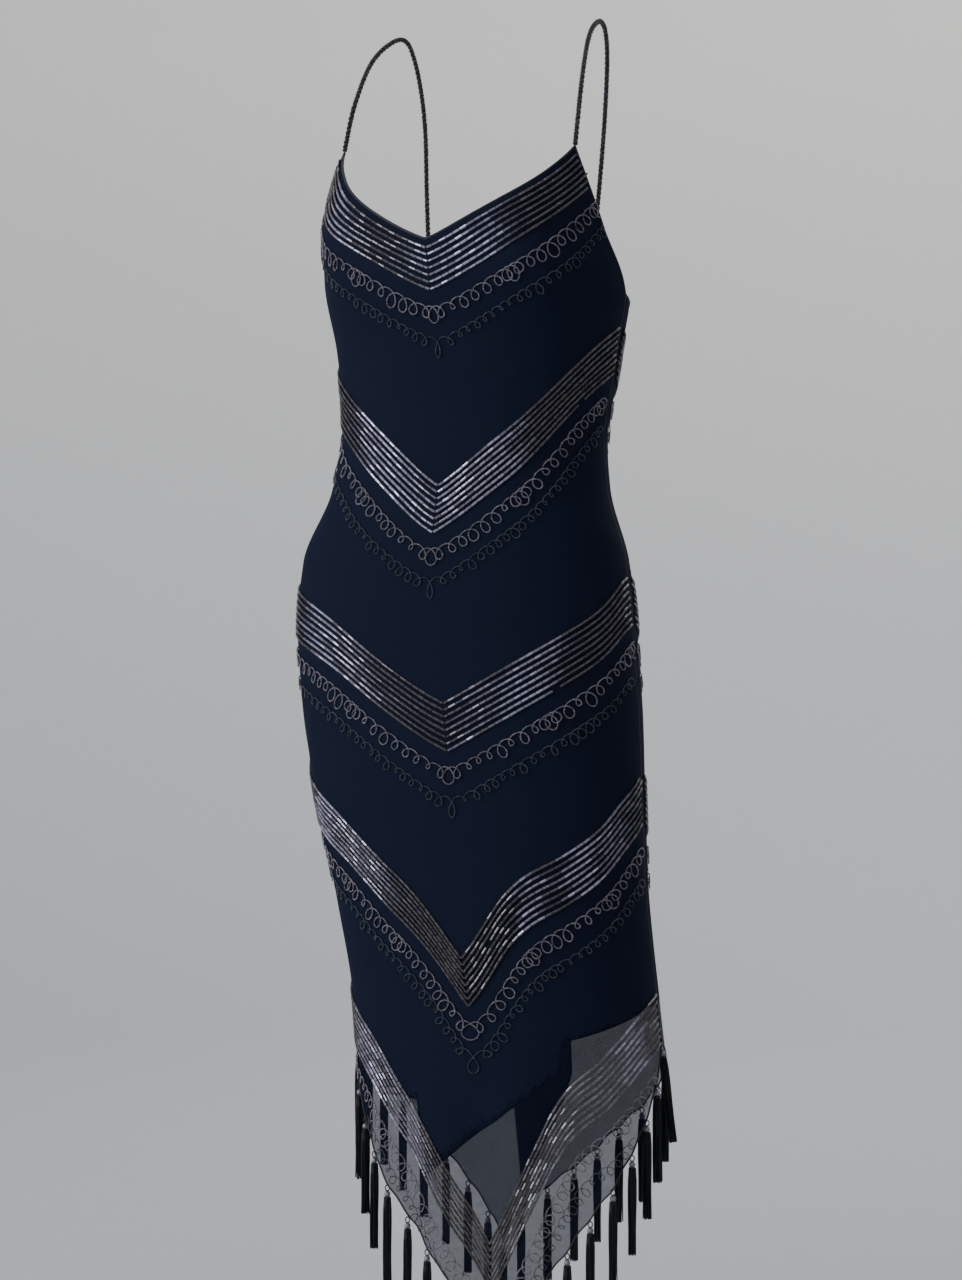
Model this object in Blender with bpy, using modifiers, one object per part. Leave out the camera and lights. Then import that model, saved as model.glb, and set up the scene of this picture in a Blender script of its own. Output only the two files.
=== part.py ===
"""A sleeveless fringe dress, hollow as it is worn, with its hem of hanging tassels.

The origin is midway between the tops of the two shoulder straps. +Z is up, the front faces -Y
and +X is the wearer's left. Angles run round the body from the centre front (0 degrees) over the
wearer's left side (90) to the centre back (180), and are negative on the wearer's right.
Lengths are in metres.
"""
import math

import bmesh
import bpy
from mathutils import Euler, Vector

# Driving dimensions
WALL = 0.0012                # cloth wall of the outer panels and of the lining
LINING_EASE = 0.0030         # room between the outer cloth and the lining
EDGE_EASE = 0.0004           # the same room along the sewn top edges
BINDING = 0.008              # depth of the stitched top edge
SEAM_ANGLE = 0.16            # degrees that each panel stops short of the side seam
SQUARENESS = 2.2             # exponent of the rounded body sections

NECK_POINT = -0.221          # centre front of the neckline
STRAP_ANGLE = 64.0           # where the neckline meets the armhole
STRAP_FOOT = -0.124          # height of that corner
UNDERARM = -0.262            # top of the side seam
BACK_DIP = -0.290            # centre of the back's top edge
FRONT_HEM_POINT = -1.255
BACK_HEM_POINT = -1.210
BACK_POINT_ANGLE = 195.0     # the back's point hangs past the centre back, on the right
SIDE_HEM = -0.985

# How each edge bows between its two ends: 1 is straight round the body.
NECK_BOW = 1.05
ARMHOLE_BOW = 0.9
BACK_TOP_BOW = 1.5
FRONT_HEM_BOW = 0.86
BACK_HEM_BOW = 0.72

CUP_ANGLE = 38.0             # bust cups: place, spread and fullness
CUP_HEIGHT = -0.225
CUP_SPREAD_ANGLE = 17.0
CUP_SPREAD = 0.050
CUP_FULLNESS = 0.010

STRAP_RADIUS = 0.0028
STRAP_BACK_ANGLE = 148.0
STRAP_GAP = 0.0006

TASSEL_PITCH = 0.0365        # distance between tassels along the hem
TASSEL_SIDES = 5             # sides of a tassel's head, with one strand below each
TASSEL_LOOP = 0.0055
TASSEL_HEAD = 0.0085
TASSEL_STRANDS = 0.080
TASSEL_HEAD_RADIUS = 0.0033
TASSEL_LOOP_RADIUS = 0.0009
STRAND_PARTING = 0.00025
STRAND_SPREAD = 0.45         # how far a strand's end spreads, as a share of its root's radius
HEM_GAP = 0.0004             # between the hem edge and the top of a tassel's loop
SIDE_DROP = 0.0019           # down to the loop below a side seam, where both edges fall away
SIDE_LEAN = 7.0              # degrees that the tassel under the left side seam leans out
TASSEL_TURN = 31.0           # degrees from one tassel's strands to the next one's

FRONT_ROWS = 30
BACK_ROWS = 26
LINING_ROWS = 22

# Horizontal sections of the worn dress, from the top down. turn is in degrees, tilt is the drop
# of a section for each metre to the wearer's left.
SECTION_COLUMNS = ("height", "half_width", "front", "back", "shift_x", "shift_y", "turn", "tilt")
SECTIONS = (
    (-0.100, 0.128, 0.074, 0.070, -0.020, -0.010, 5.0, 0.06),
    (-0.150, 0.143, 0.096, 0.076, -0.021, -0.012, 5.0, 0.06),
    (-0.200, 0.152, 0.110, 0.082, -0.022, -0.012, 5.0, 0.05),
    (-0.250, 0.155, 0.112, 0.086, -0.018, -0.010, 4.0, 0.04),
    (-0.320, 0.144, 0.096, 0.084, -0.019, -0.006, 3.0, 0.03),
    (-0.400, 0.135, 0.086, 0.082, -0.025, -0.002, 1.0, 0.00),
    (-0.450, 0.141, 0.086, 0.088, -0.030, 0.000, 0.0, 0.00),
    (-0.520, 0.165, 0.094, 0.108, -0.037, 0.002, -1.0, 0.00),
    (-0.590, 0.172, 0.098, 0.118, -0.036, 0.002, -1.0, 0.00),
    (-0.650, 0.172, 0.098, 0.116, -0.031, 0.000, -1.0, 0.00),
    (-0.750, 0.167, 0.096, 0.104, -0.021, -0.002, -1.0, 0.00),
    (-0.850, 0.157, 0.094, 0.096, -0.007, -0.002, -2.0, 0.00),
    (-0.950, 0.153, 0.094, 0.092, 0.007, 0.000, -3.0, 0.00),
    (-1.100, 0.157, 0.098, 0.096, 0.020, 0.000, -4.0, 0.00),
    (-1.300, 0.164, 0.104, 0.100, 0.030, 0.000, -4.0, 0.00),
)

# The largest folds of the sheer hem: each starts at one height and is full at a lower one.
# Each row gives its angle, spread, depth, starting height and full height, and a negative depth is
# a trough.
FOLDS = (
    (-17.0, 7.0, 0.0065, -1.02, -1.20),
    (-4.0, 7.0, -0.0060, -0.98, -1.16),
    (9.0, 8.0, 0.0055, -0.96, -1.14),
    (30.0, 9.0, -0.0040, -0.95, -1.10),
    (-42.0, 10.0, 0.0045, -0.94, -1.10),
    (150.0, 11.0, -0.0050, -0.90, -1.10),
    (176.0, 12.0, 0.0065, -0.92, -1.14),
    (-155.0, 11.0, -0.0045, -0.90, -1.10),
)

# Corners of the linings' handkerchief hems, as an angle and a height.
FRONT_LINING_HEM = (
    (-90.0, -0.955),
    (-68.0, -0.968),
    (-45.0, -1.032),
    (-25.5, -1.036),
    (-24.0, -1.112),
    (7.0, -1.039),
    (27.0, -1.003),
    (28.5, -0.976),
    (74.0, -0.950),
    (90.0, -0.945),
)
BACK_LINING_HEM = (
    (90.0, -0.945),
    (150.0, -0.965),
    (167.0, -0.980),
    (168.5, -1.036),
    (187.5, -1.160),
    (189.0, -1.030),
    (235.0, -1.000),
    (270.0, -0.955),
)

# Route of each strap's middle between its two feet: place across, depth and height.
LEFT_STRAP_ROUTE = (
    (0.103, -0.052, -0.062),
    (0.103, -0.028, -0.018),
    (0.104, 0.004, 0.000),
    (0.100, 0.036, -0.016),
    (0.091, 0.060, -0.070),
    (0.080, 0.074, -0.150),
)
RIGHT_STRAP_ROUTE = (
    (-0.128, -0.058, -0.075),
    (-0.118, -0.034, -0.027),
    (-0.104, 0.004, 0.000),
    (-0.102, 0.036, -0.016),
    (-0.102, 0.062, -0.070),
    (-0.104, 0.074, -0.150),
)
STRAP_POINTS = 22

# Colours and finishes as the base colour, roughness and metallic value.
GEORGETTE = ("sheer midnight georgette", (0.010, 0.015, 0.028), 0.72, 0.0)
LINING = ("navy black lining", (0.006, 0.010, 0.020), 0.62, 0.0)
STRAP_BEADS = ("black glass beads", (0.012, 0.012, 0.015), 0.25, 0.0)
SILK = ("black silk floss", (0.008, 0.008, 0.010), 0.55, 0.0)


def smooth_step(value):
    """Go smoothly from 0 to 1 as value does."""
    value = min(max(value, 0.0), 1.0)
    return value * value * (3.0 - 2.0 * value)


def section_slopes():
    """Give the slope of each section column at each row, with no overshoot between rows."""
    heights = [row[0] for row in SECTIONS]
    slopes = []
    for index in range(len(SECTIONS)):
        row_slopes = []
        for column in range(1, len(SECTION_COLUMNS)):
            steps = []
            for low in (index - 1, index):
                if 0 <= low < len(SECTIONS) - 1:
                    rise = SECTIONS[low + 1][column] - SECTIONS[low][column]
                    steps.append(rise / (heights[low + 1] - heights[low]))
            if len(steps) == 1:
                row_slopes.append(steps[0])
            elif steps[0] * steps[1] <= 0.0:
                row_slopes.append(0.0)
            else:
                row_slopes.append(2.0 * steps[0] * steps[1] / (steps[0] + steps[1]))
        slopes.append(row_slopes)
    return slopes


SLOPES = section_slopes()


def section_at(height):
    """Read the section table at any height, smoothly between its rows."""
    height = min(max(height, SECTIONS[-1][0]), SECTIONS[0][0])
    index = 0
    while index < len(SECTIONS) - 2 and height < SECTIONS[index + 1][0]:
        index += 1
    upper, lower = SECTIONS[index], SECTIONS[index + 1]
    span = lower[0] - upper[0]
    part = (height - upper[0]) / span
    start = 2.0 * part**3 - 3.0 * part**2 + 1.0
    start_slope = part**3 - 2.0 * part**2 + part
    end_slope = part**3 - part**2
    values = {}
    for column, name in enumerate(SECTION_COLUMNS[1:], start=1):
        values[name] = (start * upper[column] + start_slope * span * SLOPES[index][column - 1]
                        + (1.0 - start) * lower[column]
                        + end_slope * span * SLOPES[index + 1][column - 1])
    return values


def angle_between(first, second):
    """Give the smallest angle between two directions round the body, in degrees."""
    return (first - second + 180.0) % 360.0 - 180.0


def fullness(angle, height):
    """Give how far the cloth stands out from its section, over the bust and in the folds."""
    total = 0.0
    for side in (-1.0, 1.0):
        away = angle_between(angle, side * CUP_ANGLE) / CUP_SPREAD_ANGLE
        level = (height - CUP_HEIGHT) / CUP_SPREAD
        total += CUP_FULLNESS * math.exp(-away**2 - level**2)
    for place, spread, depth, start, full in FOLDS:
        away = angle_between(angle, place) / spread
        total += depth * math.exp(-away**2) * smooth_step((height - start) / (full - start))
    return total


def surface_point(angle, height):
    """Give the point of the dress's outer face at an angle and a height."""
    section = section_at(height)
    across, ahead = math.sin(math.radians(angle)), math.cos(math.radians(angle))
    depth = section["front"] if ahead > 0.0 else section["back"]
    power = 2.0 / SQUARENESS
    x = section["half_width"] * math.copysign(abs(across)**power, across)
    y = -depth * math.copysign(abs(ahead)**power, ahead)
    out = fullness(angle, height)
    x += out * across
    y -= out * ahead
    turn = math.radians(section["turn"])
    return Vector((x * math.cos(turn) + y * math.sin(turn) + section["shift_x"],
                   -x * math.sin(turn) + y * math.cos(turn) + section["shift_y"],
                   height - section["tilt"] * x))


def outward(angle, height):
    """Give the direction that faces out of the cloth at an angle and a height."""
    angle_step, height_step = 0.5, 0.001
    along = surface_point(angle + angle_step, height) - surface_point(angle - angle_step, height)
    upward = surface_point(angle, height + height_step) - surface_point(angle, height - height_step)
    return along.cross(upward).normalized()


def front_top(angle):
    """Height of the front's top edge: a V neckline, then the armhole down to the side seam."""
    away = abs(angle)
    if away <= STRAP_ANGLE:
        return NECK_POINT + (STRAP_FOOT - NECK_POINT) * (away / STRAP_ANGLE)**NECK_BOW
    part = (away - STRAP_ANGLE) / (90.0 - STRAP_ANGLE)
    return STRAP_FOOT + (UNDERARM - STRAP_FOOT) * part**ARMHOLE_BOW


def back_top(angle):
    """Height of the back's top edge, a shallow dip from one underarm to the other."""
    away = abs(angle_between(angle, 180.0)) / 90.0
    return BACK_DIP + (UNDERARM - BACK_DIP) * away**BACK_TOP_BOW


def front_hem(angle):
    """Height of the front's pointed hem."""
    return FRONT_HEM_POINT + (SIDE_HEM - FRONT_HEM_POINT) * (abs(angle) / 90.0)**FRONT_HEM_BOW


def back_hem(angle):
    """Height of the back's pointed hem, which is shorter than the front's."""
    seam = 90.0 if angle < BACK_POINT_ANGLE else 270.0
    away = (angle - BACK_POINT_ANGLE) / (seam - BACK_POINT_ANGLE)
    return BACK_HEM_POINT + (SIDE_HEM - BACK_HEM_POINT) * away**BACK_HEM_BOW


def through_corners(corners):
    """Make the function of a hem that runs straight from corner to corner."""
    def hem(angle):
        for (left, left_height), (right, right_height) in zip(corners, corners[1:]):
            if angle <= right:
                part = max(angle - left, 0.0) / (right - left)
                return left_height + (right_height - left_height) * part
        return corners[-1][1]
    return hem


def spread_angles(stops):
    """Spread columns evenly between stops, given as an angle and the columns before it."""
    angles = [stops[0][0]]
    for (start, _), (end, columns) in zip(stops, stops[1:]):
        angles += [start + (end - start) * (step + 1) / columns for step in range(columns)]
    return angles


FRONT_ANGLES = spread_angles(((-90.0 + SEAM_ANGLE, 0), (-STRAP_ANGLE, 4), (-45.0, 3),
                              (-25.5, 4), (-24.0, 1), (0.0, 4), (7.0, 1), (27.0, 3),
                              (28.5, 1), (STRAP_ANGLE, 5), (90.0 - SEAM_ANGLE, 4)))
BACK_ANGLES = spread_angles(((90.0 + SEAM_ANGLE, 0), (150.0, 8), (167.0, 3), (168.5, 1),
                             (187.5, 3), (189.0, 1), (BACK_POINT_ANGLE, 1), (235.0, 7),
                             (270.0 - SEAM_ANGLE, 5)))


def finish_material(finish):
    """Make a material from its name, colour, roughness and metallic value."""
    name, colour, roughness, metallic = finish
    material = bpy.data.materials.get(name) or bpy.data.materials.new(name)
    material.use_nodes = True
    shader = material.node_tree.nodes["Principled BSDF"]
    shader.inputs["Base Color"].default_value = (*colour, 1.0)
    shader.inputs["Roughness"].default_value = roughness
    shader.inputs["Metallic"].default_value = metallic
    return material


def add_object(name, data, finish, collection):
    """Put a mesh or curve into the scene as an object with one material."""
    data.materials.append(finish_material(finish))
    thing = bpy.data.objects.new(name, data)
    collection.objects.link(thing)
    return thing


def cloth_panel(name, angles, top, hem, rows, finish, collection, inset=0.0):
    """Loft one cut panel from its top edge to its hem and thicken it inwards.

    The first row below the top edge is the depth of the stitched edge. An inset panel lies that
    far inside the outer cloth, and close to it along the stitched edge.
    """
    cloth = bmesh.new()
    grid = []
    for row in range(rows + 1):
        line = []
        for angle in angles:
            high, low = top(angle), hem(angle)
            height = high - BINDING if row == 1 else high
            if row > 1:
                height = high - BINDING + (low - high + BINDING) * (row - 1) / (rows - 1)
            point = surface_point(angle, height)
            if inset:
                depth = WALL + EDGE_EASE if row <= 1 else inset
                point -= outward(angle, height) * depth
            line.append(cloth.verts.new(point))
        grid.append(line)
    for upper, lower in zip(grid, grid[1:]):
        for column in range(len(angles) - 1):
            cloth.faces.new((upper[column], lower[column], lower[column + 1], upper[column + 1]))
    mesh = bpy.data.meshes.new(name)
    cloth.to_mesh(mesh)
    cloth.free()
    mesh.shade_smooth()
    panel = add_object(name, mesh, finish, collection)
    wall = panel.modifiers.new("cloth wall", "SOLIDIFY")
    wall.thickness = WALL
    wall.offset = -1.0
    wall.use_even_offset = True
    return panel


def edge_of(angles, hem):
    """Give the corners of a panel's hem edge, in the middle of its wall."""
    corners = []
    for angle in angles:
        height = hem(angle)
        corners.append(surface_point(angle, height) - outward(angle, height) * WALL / 2.0)
    return corners


def walk_edge(corners, distance):
    """Give the point at a distance along an edge, from its first corner."""
    for start, end in zip(corners, corners[1:]):
        length = (end - start).length
        if distance <= length:
            return start.lerp(end, distance / length)
        distance -= length
    return corners[-1]


def smooth_route(points, count):
    """Read evenly spread points from a smooth curve through the points of a route."""
    padded = [points[0] * 2.0 - points[1], *points, points[-1] * 2.0 - points[-2]]
    fine = []
    steps = 24
    for index in range(1, len(padded) - 2):
        before, start, end, after = padded[index - 1:index + 3]
        for step in range(steps):
            part = step / steps
            fine.append(0.5 * (2.0 * start + (end - before) * part
                               + (2.0 * before - 5.0 * start + 4.0 * end - after) * part**2
                               + (3.0 * start - before - 3.0 * end + after) * part**3))
    fine.append(points[-1])
    total = sum((end - start).length for start, end in zip(fine, fine[1:]))
    return [walk_edge(fine, total * step / (count - 1)) for step in range(count)]


def strap(name, side, middle, collection):
    """Run one beaded strap from the neckline corner over the shoulder to the back."""
    front_foot = surface_point(side * STRAP_ANGLE, STRAP_FOOT)
    back_angle = side * STRAP_BACK_ANGLE
    back_foot = surface_point(back_angle, back_top(back_angle))
    middle = [Vector(place) for place in middle]
    front_foot += (middle[0] - front_foot).normalized() * STRAP_GAP
    back_foot += (middle[-1] - back_foot).normalized() * STRAP_GAP
    route = smooth_route([front_foot, *middle, back_foot], STRAP_POINTS)
    curve = bpy.data.curves.new(name, "CURVE")
    curve.dimensions = "3D"
    curve.bevel_depth = STRAP_RADIUS
    curve.bevel_resolution = 2
    curve.use_fill_caps = True
    spline = curve.splines.new("POLY")
    spline.points.add(len(route) - 1)
    for point, place in zip(spline.points, route):
        point.co = (*place, 1.0)
    return add_object(name, curve, STRAP_BEADS, collection)


def tassel_mesh():
    """Build a tassel that hangs from the origin: a loop, a tapered head and its strands."""
    tassel = bmesh.new()
    bmesh.ops.create_cone(tassel, cap_ends=True, cap_tris=True, segments=TASSEL_SIDES,
                          radius1=TASSEL_HEAD_RADIUS, radius2=TASSEL_LOOP_RADIUS,
                          depth=TASSEL_HEAD)
    head_top = -TASSEL_LOOP
    bmesh.ops.translate(tassel, verts=tassel.verts, vec=(0.0, 0.0, head_top - TASSEL_HEAD / 2.0))
    above = [face for face in tassel.faces if face.normal.z > 0.9]
    raised = bmesh.ops.extrude_face_region(tassel, geom=above)["geom"]
    bmesh.ops.delete(tassel, geom=above, context="FACES_ONLY")
    loop_verts = [item for item in raised if isinstance(item, bmesh.types.BMVert)]
    bmesh.ops.translate(tassel, verts=loop_verts, vec=(0.0, 0.0, TASSEL_LOOP))
    below = [face for face in tassel.faces if face.normal.z < -0.9]
    bmesh.ops.inset_individual(tassel, faces=below, thickness=STRAND_PARTING)
    for face in bmesh.ops.extrude_discrete_faces(tassel, faces=below)["faces"]:
        centre = face.calc_center_median()
        spread = Vector((centre.x, centre.y, 0.0)) * STRAND_SPREAD
        for vert in face.verts:
            vert.co += spread - Vector((0.0, 0.0, TASSEL_STRANDS))
    bmesh.ops.recalc_face_normals(tassel, faces=tassel.faces)
    mesh = bpy.data.meshes.new("tassel")
    tassel.to_mesh(mesh)
    tassel.free()
    mesh.materials.append(finish_material(SILK))
    return mesh


def hang_tassel(name, mesh, place, drop, turn, lean, collection):
    """Hang a tassel just below a place on the hem."""
    thing = bpy.data.objects.new(name, mesh)
    collection.objects.link(thing)
    thing.location = place - Vector((0.0, 0.0, drop))
    thing.rotation_euler = Euler((0.0, math.radians(lean), math.radians(turn)), "XYZ")
    return thing


def hang_fringe(label, corners, mesh, collection):
    """Hang tassels an even distance apart along a panel's hem, one of them at its point."""
    lengths = [(end - start).length for start, end in zip(corners, corners[1:])]
    low = min(range(len(corners)), key=lambda index: corners[index].z)
    before, total = sum(lengths[:low]), sum(lengths)
    to_left, to_right = int(before / TASSEL_PITCH), int((total - before) / TASSEL_PITCH)
    if before - to_left * TASSEL_PITCH < TASSEL_PITCH / 2.0:
        to_left -= 1
    if total - before - to_right * TASSEL_PITCH < TASSEL_PITCH / 2.0:
        to_right -= 1
    for number, step in enumerate(range(-to_left, to_right + 1), start=1):
        distance = before + step * TASSEL_PITCH
        place = walk_edge(corners, distance)
        along = walk_edge(corners, distance + 0.001) - walk_edge(corners, distance - 0.001)
        rise = abs(along.z) / along.xy.length
        drop = HEM_GAP * math.hypot(1.0, rise) + TASSEL_LOOP_RADIUS * rise
        hang_tassel(f"{label}_{number:02d}", mesh, place, drop, TASSEL_TURN * number, 0.0,
                    collection)


def build_dress():
    """Build the whole dress in its own collection."""
    for thing in list(bpy.data.objects):
        bpy.data.objects.remove(thing)
    dress = bpy.data.collections.new("fringe dress")
    bpy.context.scene.collection.children.link(dress)

    cloth_panel("front_panel", FRONT_ANGLES, front_top, front_hem, FRONT_ROWS, GEORGETTE, dress)
    cloth_panel("back_panel", BACK_ANGLES, back_top, back_hem, BACK_ROWS, GEORGETTE, dress)
    cloth_panel("front_lining", FRONT_ANGLES, front_top, through_corners(FRONT_LINING_HEM),
                LINING_ROWS, LINING, dress, inset=WALL + LINING_EASE)
    cloth_panel("back_lining", BACK_ANGLES, back_top, through_corners(BACK_LINING_HEM),
                LINING_ROWS, LINING, dress, inset=WALL + LINING_EASE)
    strap("strap_left", 1.0, LEFT_STRAP_ROUTE, dress)
    strap("strap_right", -1.0, RIGHT_STRAP_ROUTE, dress)

    mesh = tassel_mesh()
    hang_fringe("tassel_front", edge_of(FRONT_ANGLES, front_hem), mesh, dress)
    hang_fringe("tassel_back", edge_of(BACK_ANGLES, back_hem), mesh, dress)
    for name, angle, lean in (("tassel_side_left", 90.0, SIDE_LEAN),
                              ("tassel_side_right", -90.0, 0.0)):
        seam = surface_point(angle, SIDE_HEM) - outward(angle, SIDE_HEM) * WALL / 2.0
        hang_tassel(name, mesh, seam, SIDE_DROP, 0.0, -lean, dress)


build_dress()
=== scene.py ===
"""The looks of a beaded fringe dress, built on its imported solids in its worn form.

Angles run round the body from the centre front (0 degrees) over the wearer's left side (90) to
the centre back (180), and are negative on the wearer's right. Heights are measured from the tops
of the straps, +Z is up and the front faces -Y. Lengths are in metres.
"""
import math
import random

import bpy
import numpy as np
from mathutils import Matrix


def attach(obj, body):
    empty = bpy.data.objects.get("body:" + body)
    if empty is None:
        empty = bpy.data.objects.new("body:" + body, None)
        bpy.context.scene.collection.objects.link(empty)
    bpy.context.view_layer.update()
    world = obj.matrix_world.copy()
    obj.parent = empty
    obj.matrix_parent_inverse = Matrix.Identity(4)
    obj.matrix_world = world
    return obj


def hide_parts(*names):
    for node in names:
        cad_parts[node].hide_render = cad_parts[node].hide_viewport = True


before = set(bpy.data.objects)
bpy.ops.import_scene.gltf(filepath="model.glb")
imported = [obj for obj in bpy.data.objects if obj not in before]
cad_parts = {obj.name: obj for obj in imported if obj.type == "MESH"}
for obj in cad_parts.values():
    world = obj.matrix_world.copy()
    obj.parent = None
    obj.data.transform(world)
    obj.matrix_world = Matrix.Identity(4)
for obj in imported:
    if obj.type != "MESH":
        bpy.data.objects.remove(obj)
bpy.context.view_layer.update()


# Camera
# It stands a little to the wearer's left at thigh height and looks level, so the dress fills the
# frame from its straps to the tassels of the front point.
CAMERA_PLACE = (0.8047, -2.2612, -0.598)
CAMERA_TURN = 20.0
CAMERA_LENS = 68.85

camera_data = bpy.data.cameras.new("camera")
camera_data.lens = CAMERA_LENS
camera = bpy.data.objects.new("camera", camera_data)
camera.location = CAMERA_PLACE
camera.rotation_euler = (math.radians(90.0), 0.0, math.radians(CAMERA_TURN))
bpy.context.scene.collection.objects.link(camera)
bpy.context.scene.camera = camera


# The worn form
# The dress keeps the rounded hollow form in which it is worn: level sections run from the bust
# to the hem, with two cups, the long folds of the sheer hem and a few drag creases in the cloth.
SQUARENESS = 2.2
SECTION_COLUMNS = ("height", "half_width", "front", "back", "shift_x", "shift_y", "turn", "tilt")
SECTIONS = (
    (-0.100, 0.128, 0.074, 0.070, -0.020, -0.010, 5.0, 0.06),
    (-0.150, 0.143, 0.096, 0.076, -0.021, -0.012, 5.0, 0.06),
    (-0.200, 0.152, 0.110, 0.082, -0.022, -0.012, 5.0, 0.05),
    (-0.250, 0.155, 0.112, 0.086, -0.018, -0.010, 4.0, 0.04),
    (-0.320, 0.144, 0.096, 0.084, -0.019, -0.006, 3.0, 0.03),
    (-0.400, 0.135, 0.086, 0.082, -0.025, -0.002, 1.0, 0.00),
    (-0.450, 0.141, 0.086, 0.088, -0.030, 0.000, 0.0, 0.00),
    (-0.520, 0.165, 0.094, 0.108, -0.037, 0.002, -1.0, 0.00),
    (-0.590, 0.172, 0.098, 0.118, -0.036, 0.002, -1.0, 0.00),
    (-0.650, 0.172, 0.098, 0.116, -0.031, 0.000, -1.0, 0.00),
    (-0.750, 0.167, 0.096, 0.104, -0.021, -0.002, -1.0, 0.00),
    (-0.850, 0.157, 0.094, 0.096, -0.007, -0.002, -2.0, 0.00),
    (-0.950, 0.153, 0.094, 0.092, 0.007, 0.000, -3.0, 0.00),
    (-1.100, 0.157, 0.098, 0.096, 0.020, 0.000, -4.0, 0.00),
    (-1.300, 0.164, 0.104, 0.100, 0.030, 0.000, -4.0, 0.00),
)
CUP_ANGLE = 38.0
CUP_HEIGHT = -0.225
CUP_SPREAD_ANGLE = 17.0
CUP_SPREAD = 0.050
CUP_FULLNESS = 0.010
# Each fold: angle, spread in degrees, depth, height where it starts and where it is full.
FOLDS = (
    (-17.0, 7.0, 0.0065, -1.02, -1.20),
    (-4.0, 7.0, -0.0060, -0.98, -1.16),
    (9.0, 8.0, 0.0055, -0.96, -1.14),
    (30.0, 9.0, -0.0040, -0.95, -1.10),
    (-42.0, 10.0, 0.0045, -0.94, -1.10),
    (150.0, 11.0, -0.0050, -0.90, -1.10),
    (176.0, 12.0, 0.0065, -0.92, -1.14),
    (-155.0, 11.0, -0.0045, -0.90, -1.10),
    (-11.0, 2.6, 0.0022, -1.06, -1.18),
    (3.0, 2.8, 0.0026, -1.04, -1.16),
    (18.0, 3.4, -0.0018, -1.00, -1.12),
    (42.0, 4.5, 0.0020, -0.96, -1.08),
    (-28.0, 4.0, -0.0018, -0.98, -1.10),
    (164.0, 4.5, 0.0024, -0.96, -1.12),
    (189.0, 4.5, -0.0026, -0.98, -1.14),
    (222.0, 5.0, 0.0020, -0.94, -1.08),
)
# Each drag crease: angle, height, slant in degrees, length, spread and depth.
CREASES = (
    (58.0, -0.352, 24.0, 0.050, 0.0060, 0.0011),
    (66.0, -0.392, 12.0, 0.042, 0.0070, -0.0013),
    (50.0, -0.430, -8.0, 0.050, 0.0080, -0.0010),
    (-56.0, -0.362, -22.0, 0.046, 0.0065, 0.0010),
    (-64.0, -0.408, -10.0, 0.044, 0.0070, -0.0013),
    (-22.0, -0.346, -34.0, 0.040, 0.0070, -0.0007),
    (24.0, -0.336, 38.0, 0.044, 0.0075, -0.0008),
    (62.0, -0.482, -26.0, 0.046, 0.0085, 0.0009),
    (-48.0, -0.486, 28.0, 0.044, 0.0080, 0.0008),
    (-70.0, -0.690, 62.0, 0.070, 0.0110, -0.0010),
    (58.0, -0.705, -66.0, 0.080, 0.0120, -0.0010),
    (20.0, -0.770, -80.0, 0.085, 0.0130, -0.0007),
    (150.0, -0.398, 10.0, 0.060, 0.0080, -0.0018),
    (178.0, -0.414, -4.0, 0.070, 0.0085, 0.0017),
    (206.0, -0.392, -12.0, 0.056, 0.0080, -0.0016),
    (165.0, -0.436, 6.0, 0.048, 0.0075, -0.0013),
    (196.0, -0.448, 3.0, 0.052, 0.0080, 0.0012),
    (132.0, -0.350, 30.0, 0.048, 0.0075, 0.0011),
    (226.0, -0.346, -28.0, 0.048, 0.0075, 0.0011),
    (170.0, -0.735, 84.0, 0.085, 0.0130, -0.0014),
    (200.0, -0.760, -84.0, 0.080, 0.0120, -0.0012),
)
CLOTH_PER_DEGREE = 0.0023

section_rows = np.array(SECTIONS)[::-1]
section_heights = section_rows[:, 0]
section_values = section_rows[:, 1:]
section_steps = np.diff(section_values, axis=0) / np.diff(section_heights)[:, None]
section_slopes = np.zeros_like(section_values)
section_slopes[0] = section_steps[0]
section_slopes[-1] = section_steps[-1]
step_below, step_above = section_steps[:-1], section_steps[1:]
steps_agree = step_below * step_above > 0.0
step_sum = np.where(steps_agree, step_below + step_above, 1.0)
section_slopes[1:-1] = np.where(steps_agree, 2.0 * step_below * step_above / step_sum, 0.0)


def smooth_step(value):
    """Go smoothly from 0 to 1 as value does."""
    value = np.clip(value, 0.0, 1.0)
    return value * value * (3.0 - 2.0 * value)


def turned(first, second):
    """Give the smallest angle between two directions round the body, in degrees."""
    return (first - second + 180.0) % 360.0 - 180.0


def cubic(part, first, last, first_slope, last_slope):
    """Go smoothly from a first value to a last one with the given slopes at both."""
    start = 2.0 * part**3 - 3.0 * part**2 + 1.0
    return (start * first + (1.0 - start) * last
            + (part**3 - 2.0 * part**2 + part) * first_slope + (part**3 - part**2) * last_slope)


def section_at(height):
    """Read the section table at any heights, smoothly between its rows."""
    height = np.clip(height, section_heights[0], section_heights[-1])
    low = np.clip(np.searchsorted(section_heights, height) - 1, 0, len(section_heights) - 2)
    span = (section_heights[low + 1] - section_heights[low])[..., None]
    part = (height - section_heights[low])[..., None] / span
    values = cubic(part, section_values[low], section_values[low + 1],
                   span * section_slopes[low], span * section_slopes[low + 1])
    return dict(zip(SECTION_COLUMNS[1:], np.moveaxis(values, -1, 0)))


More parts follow.
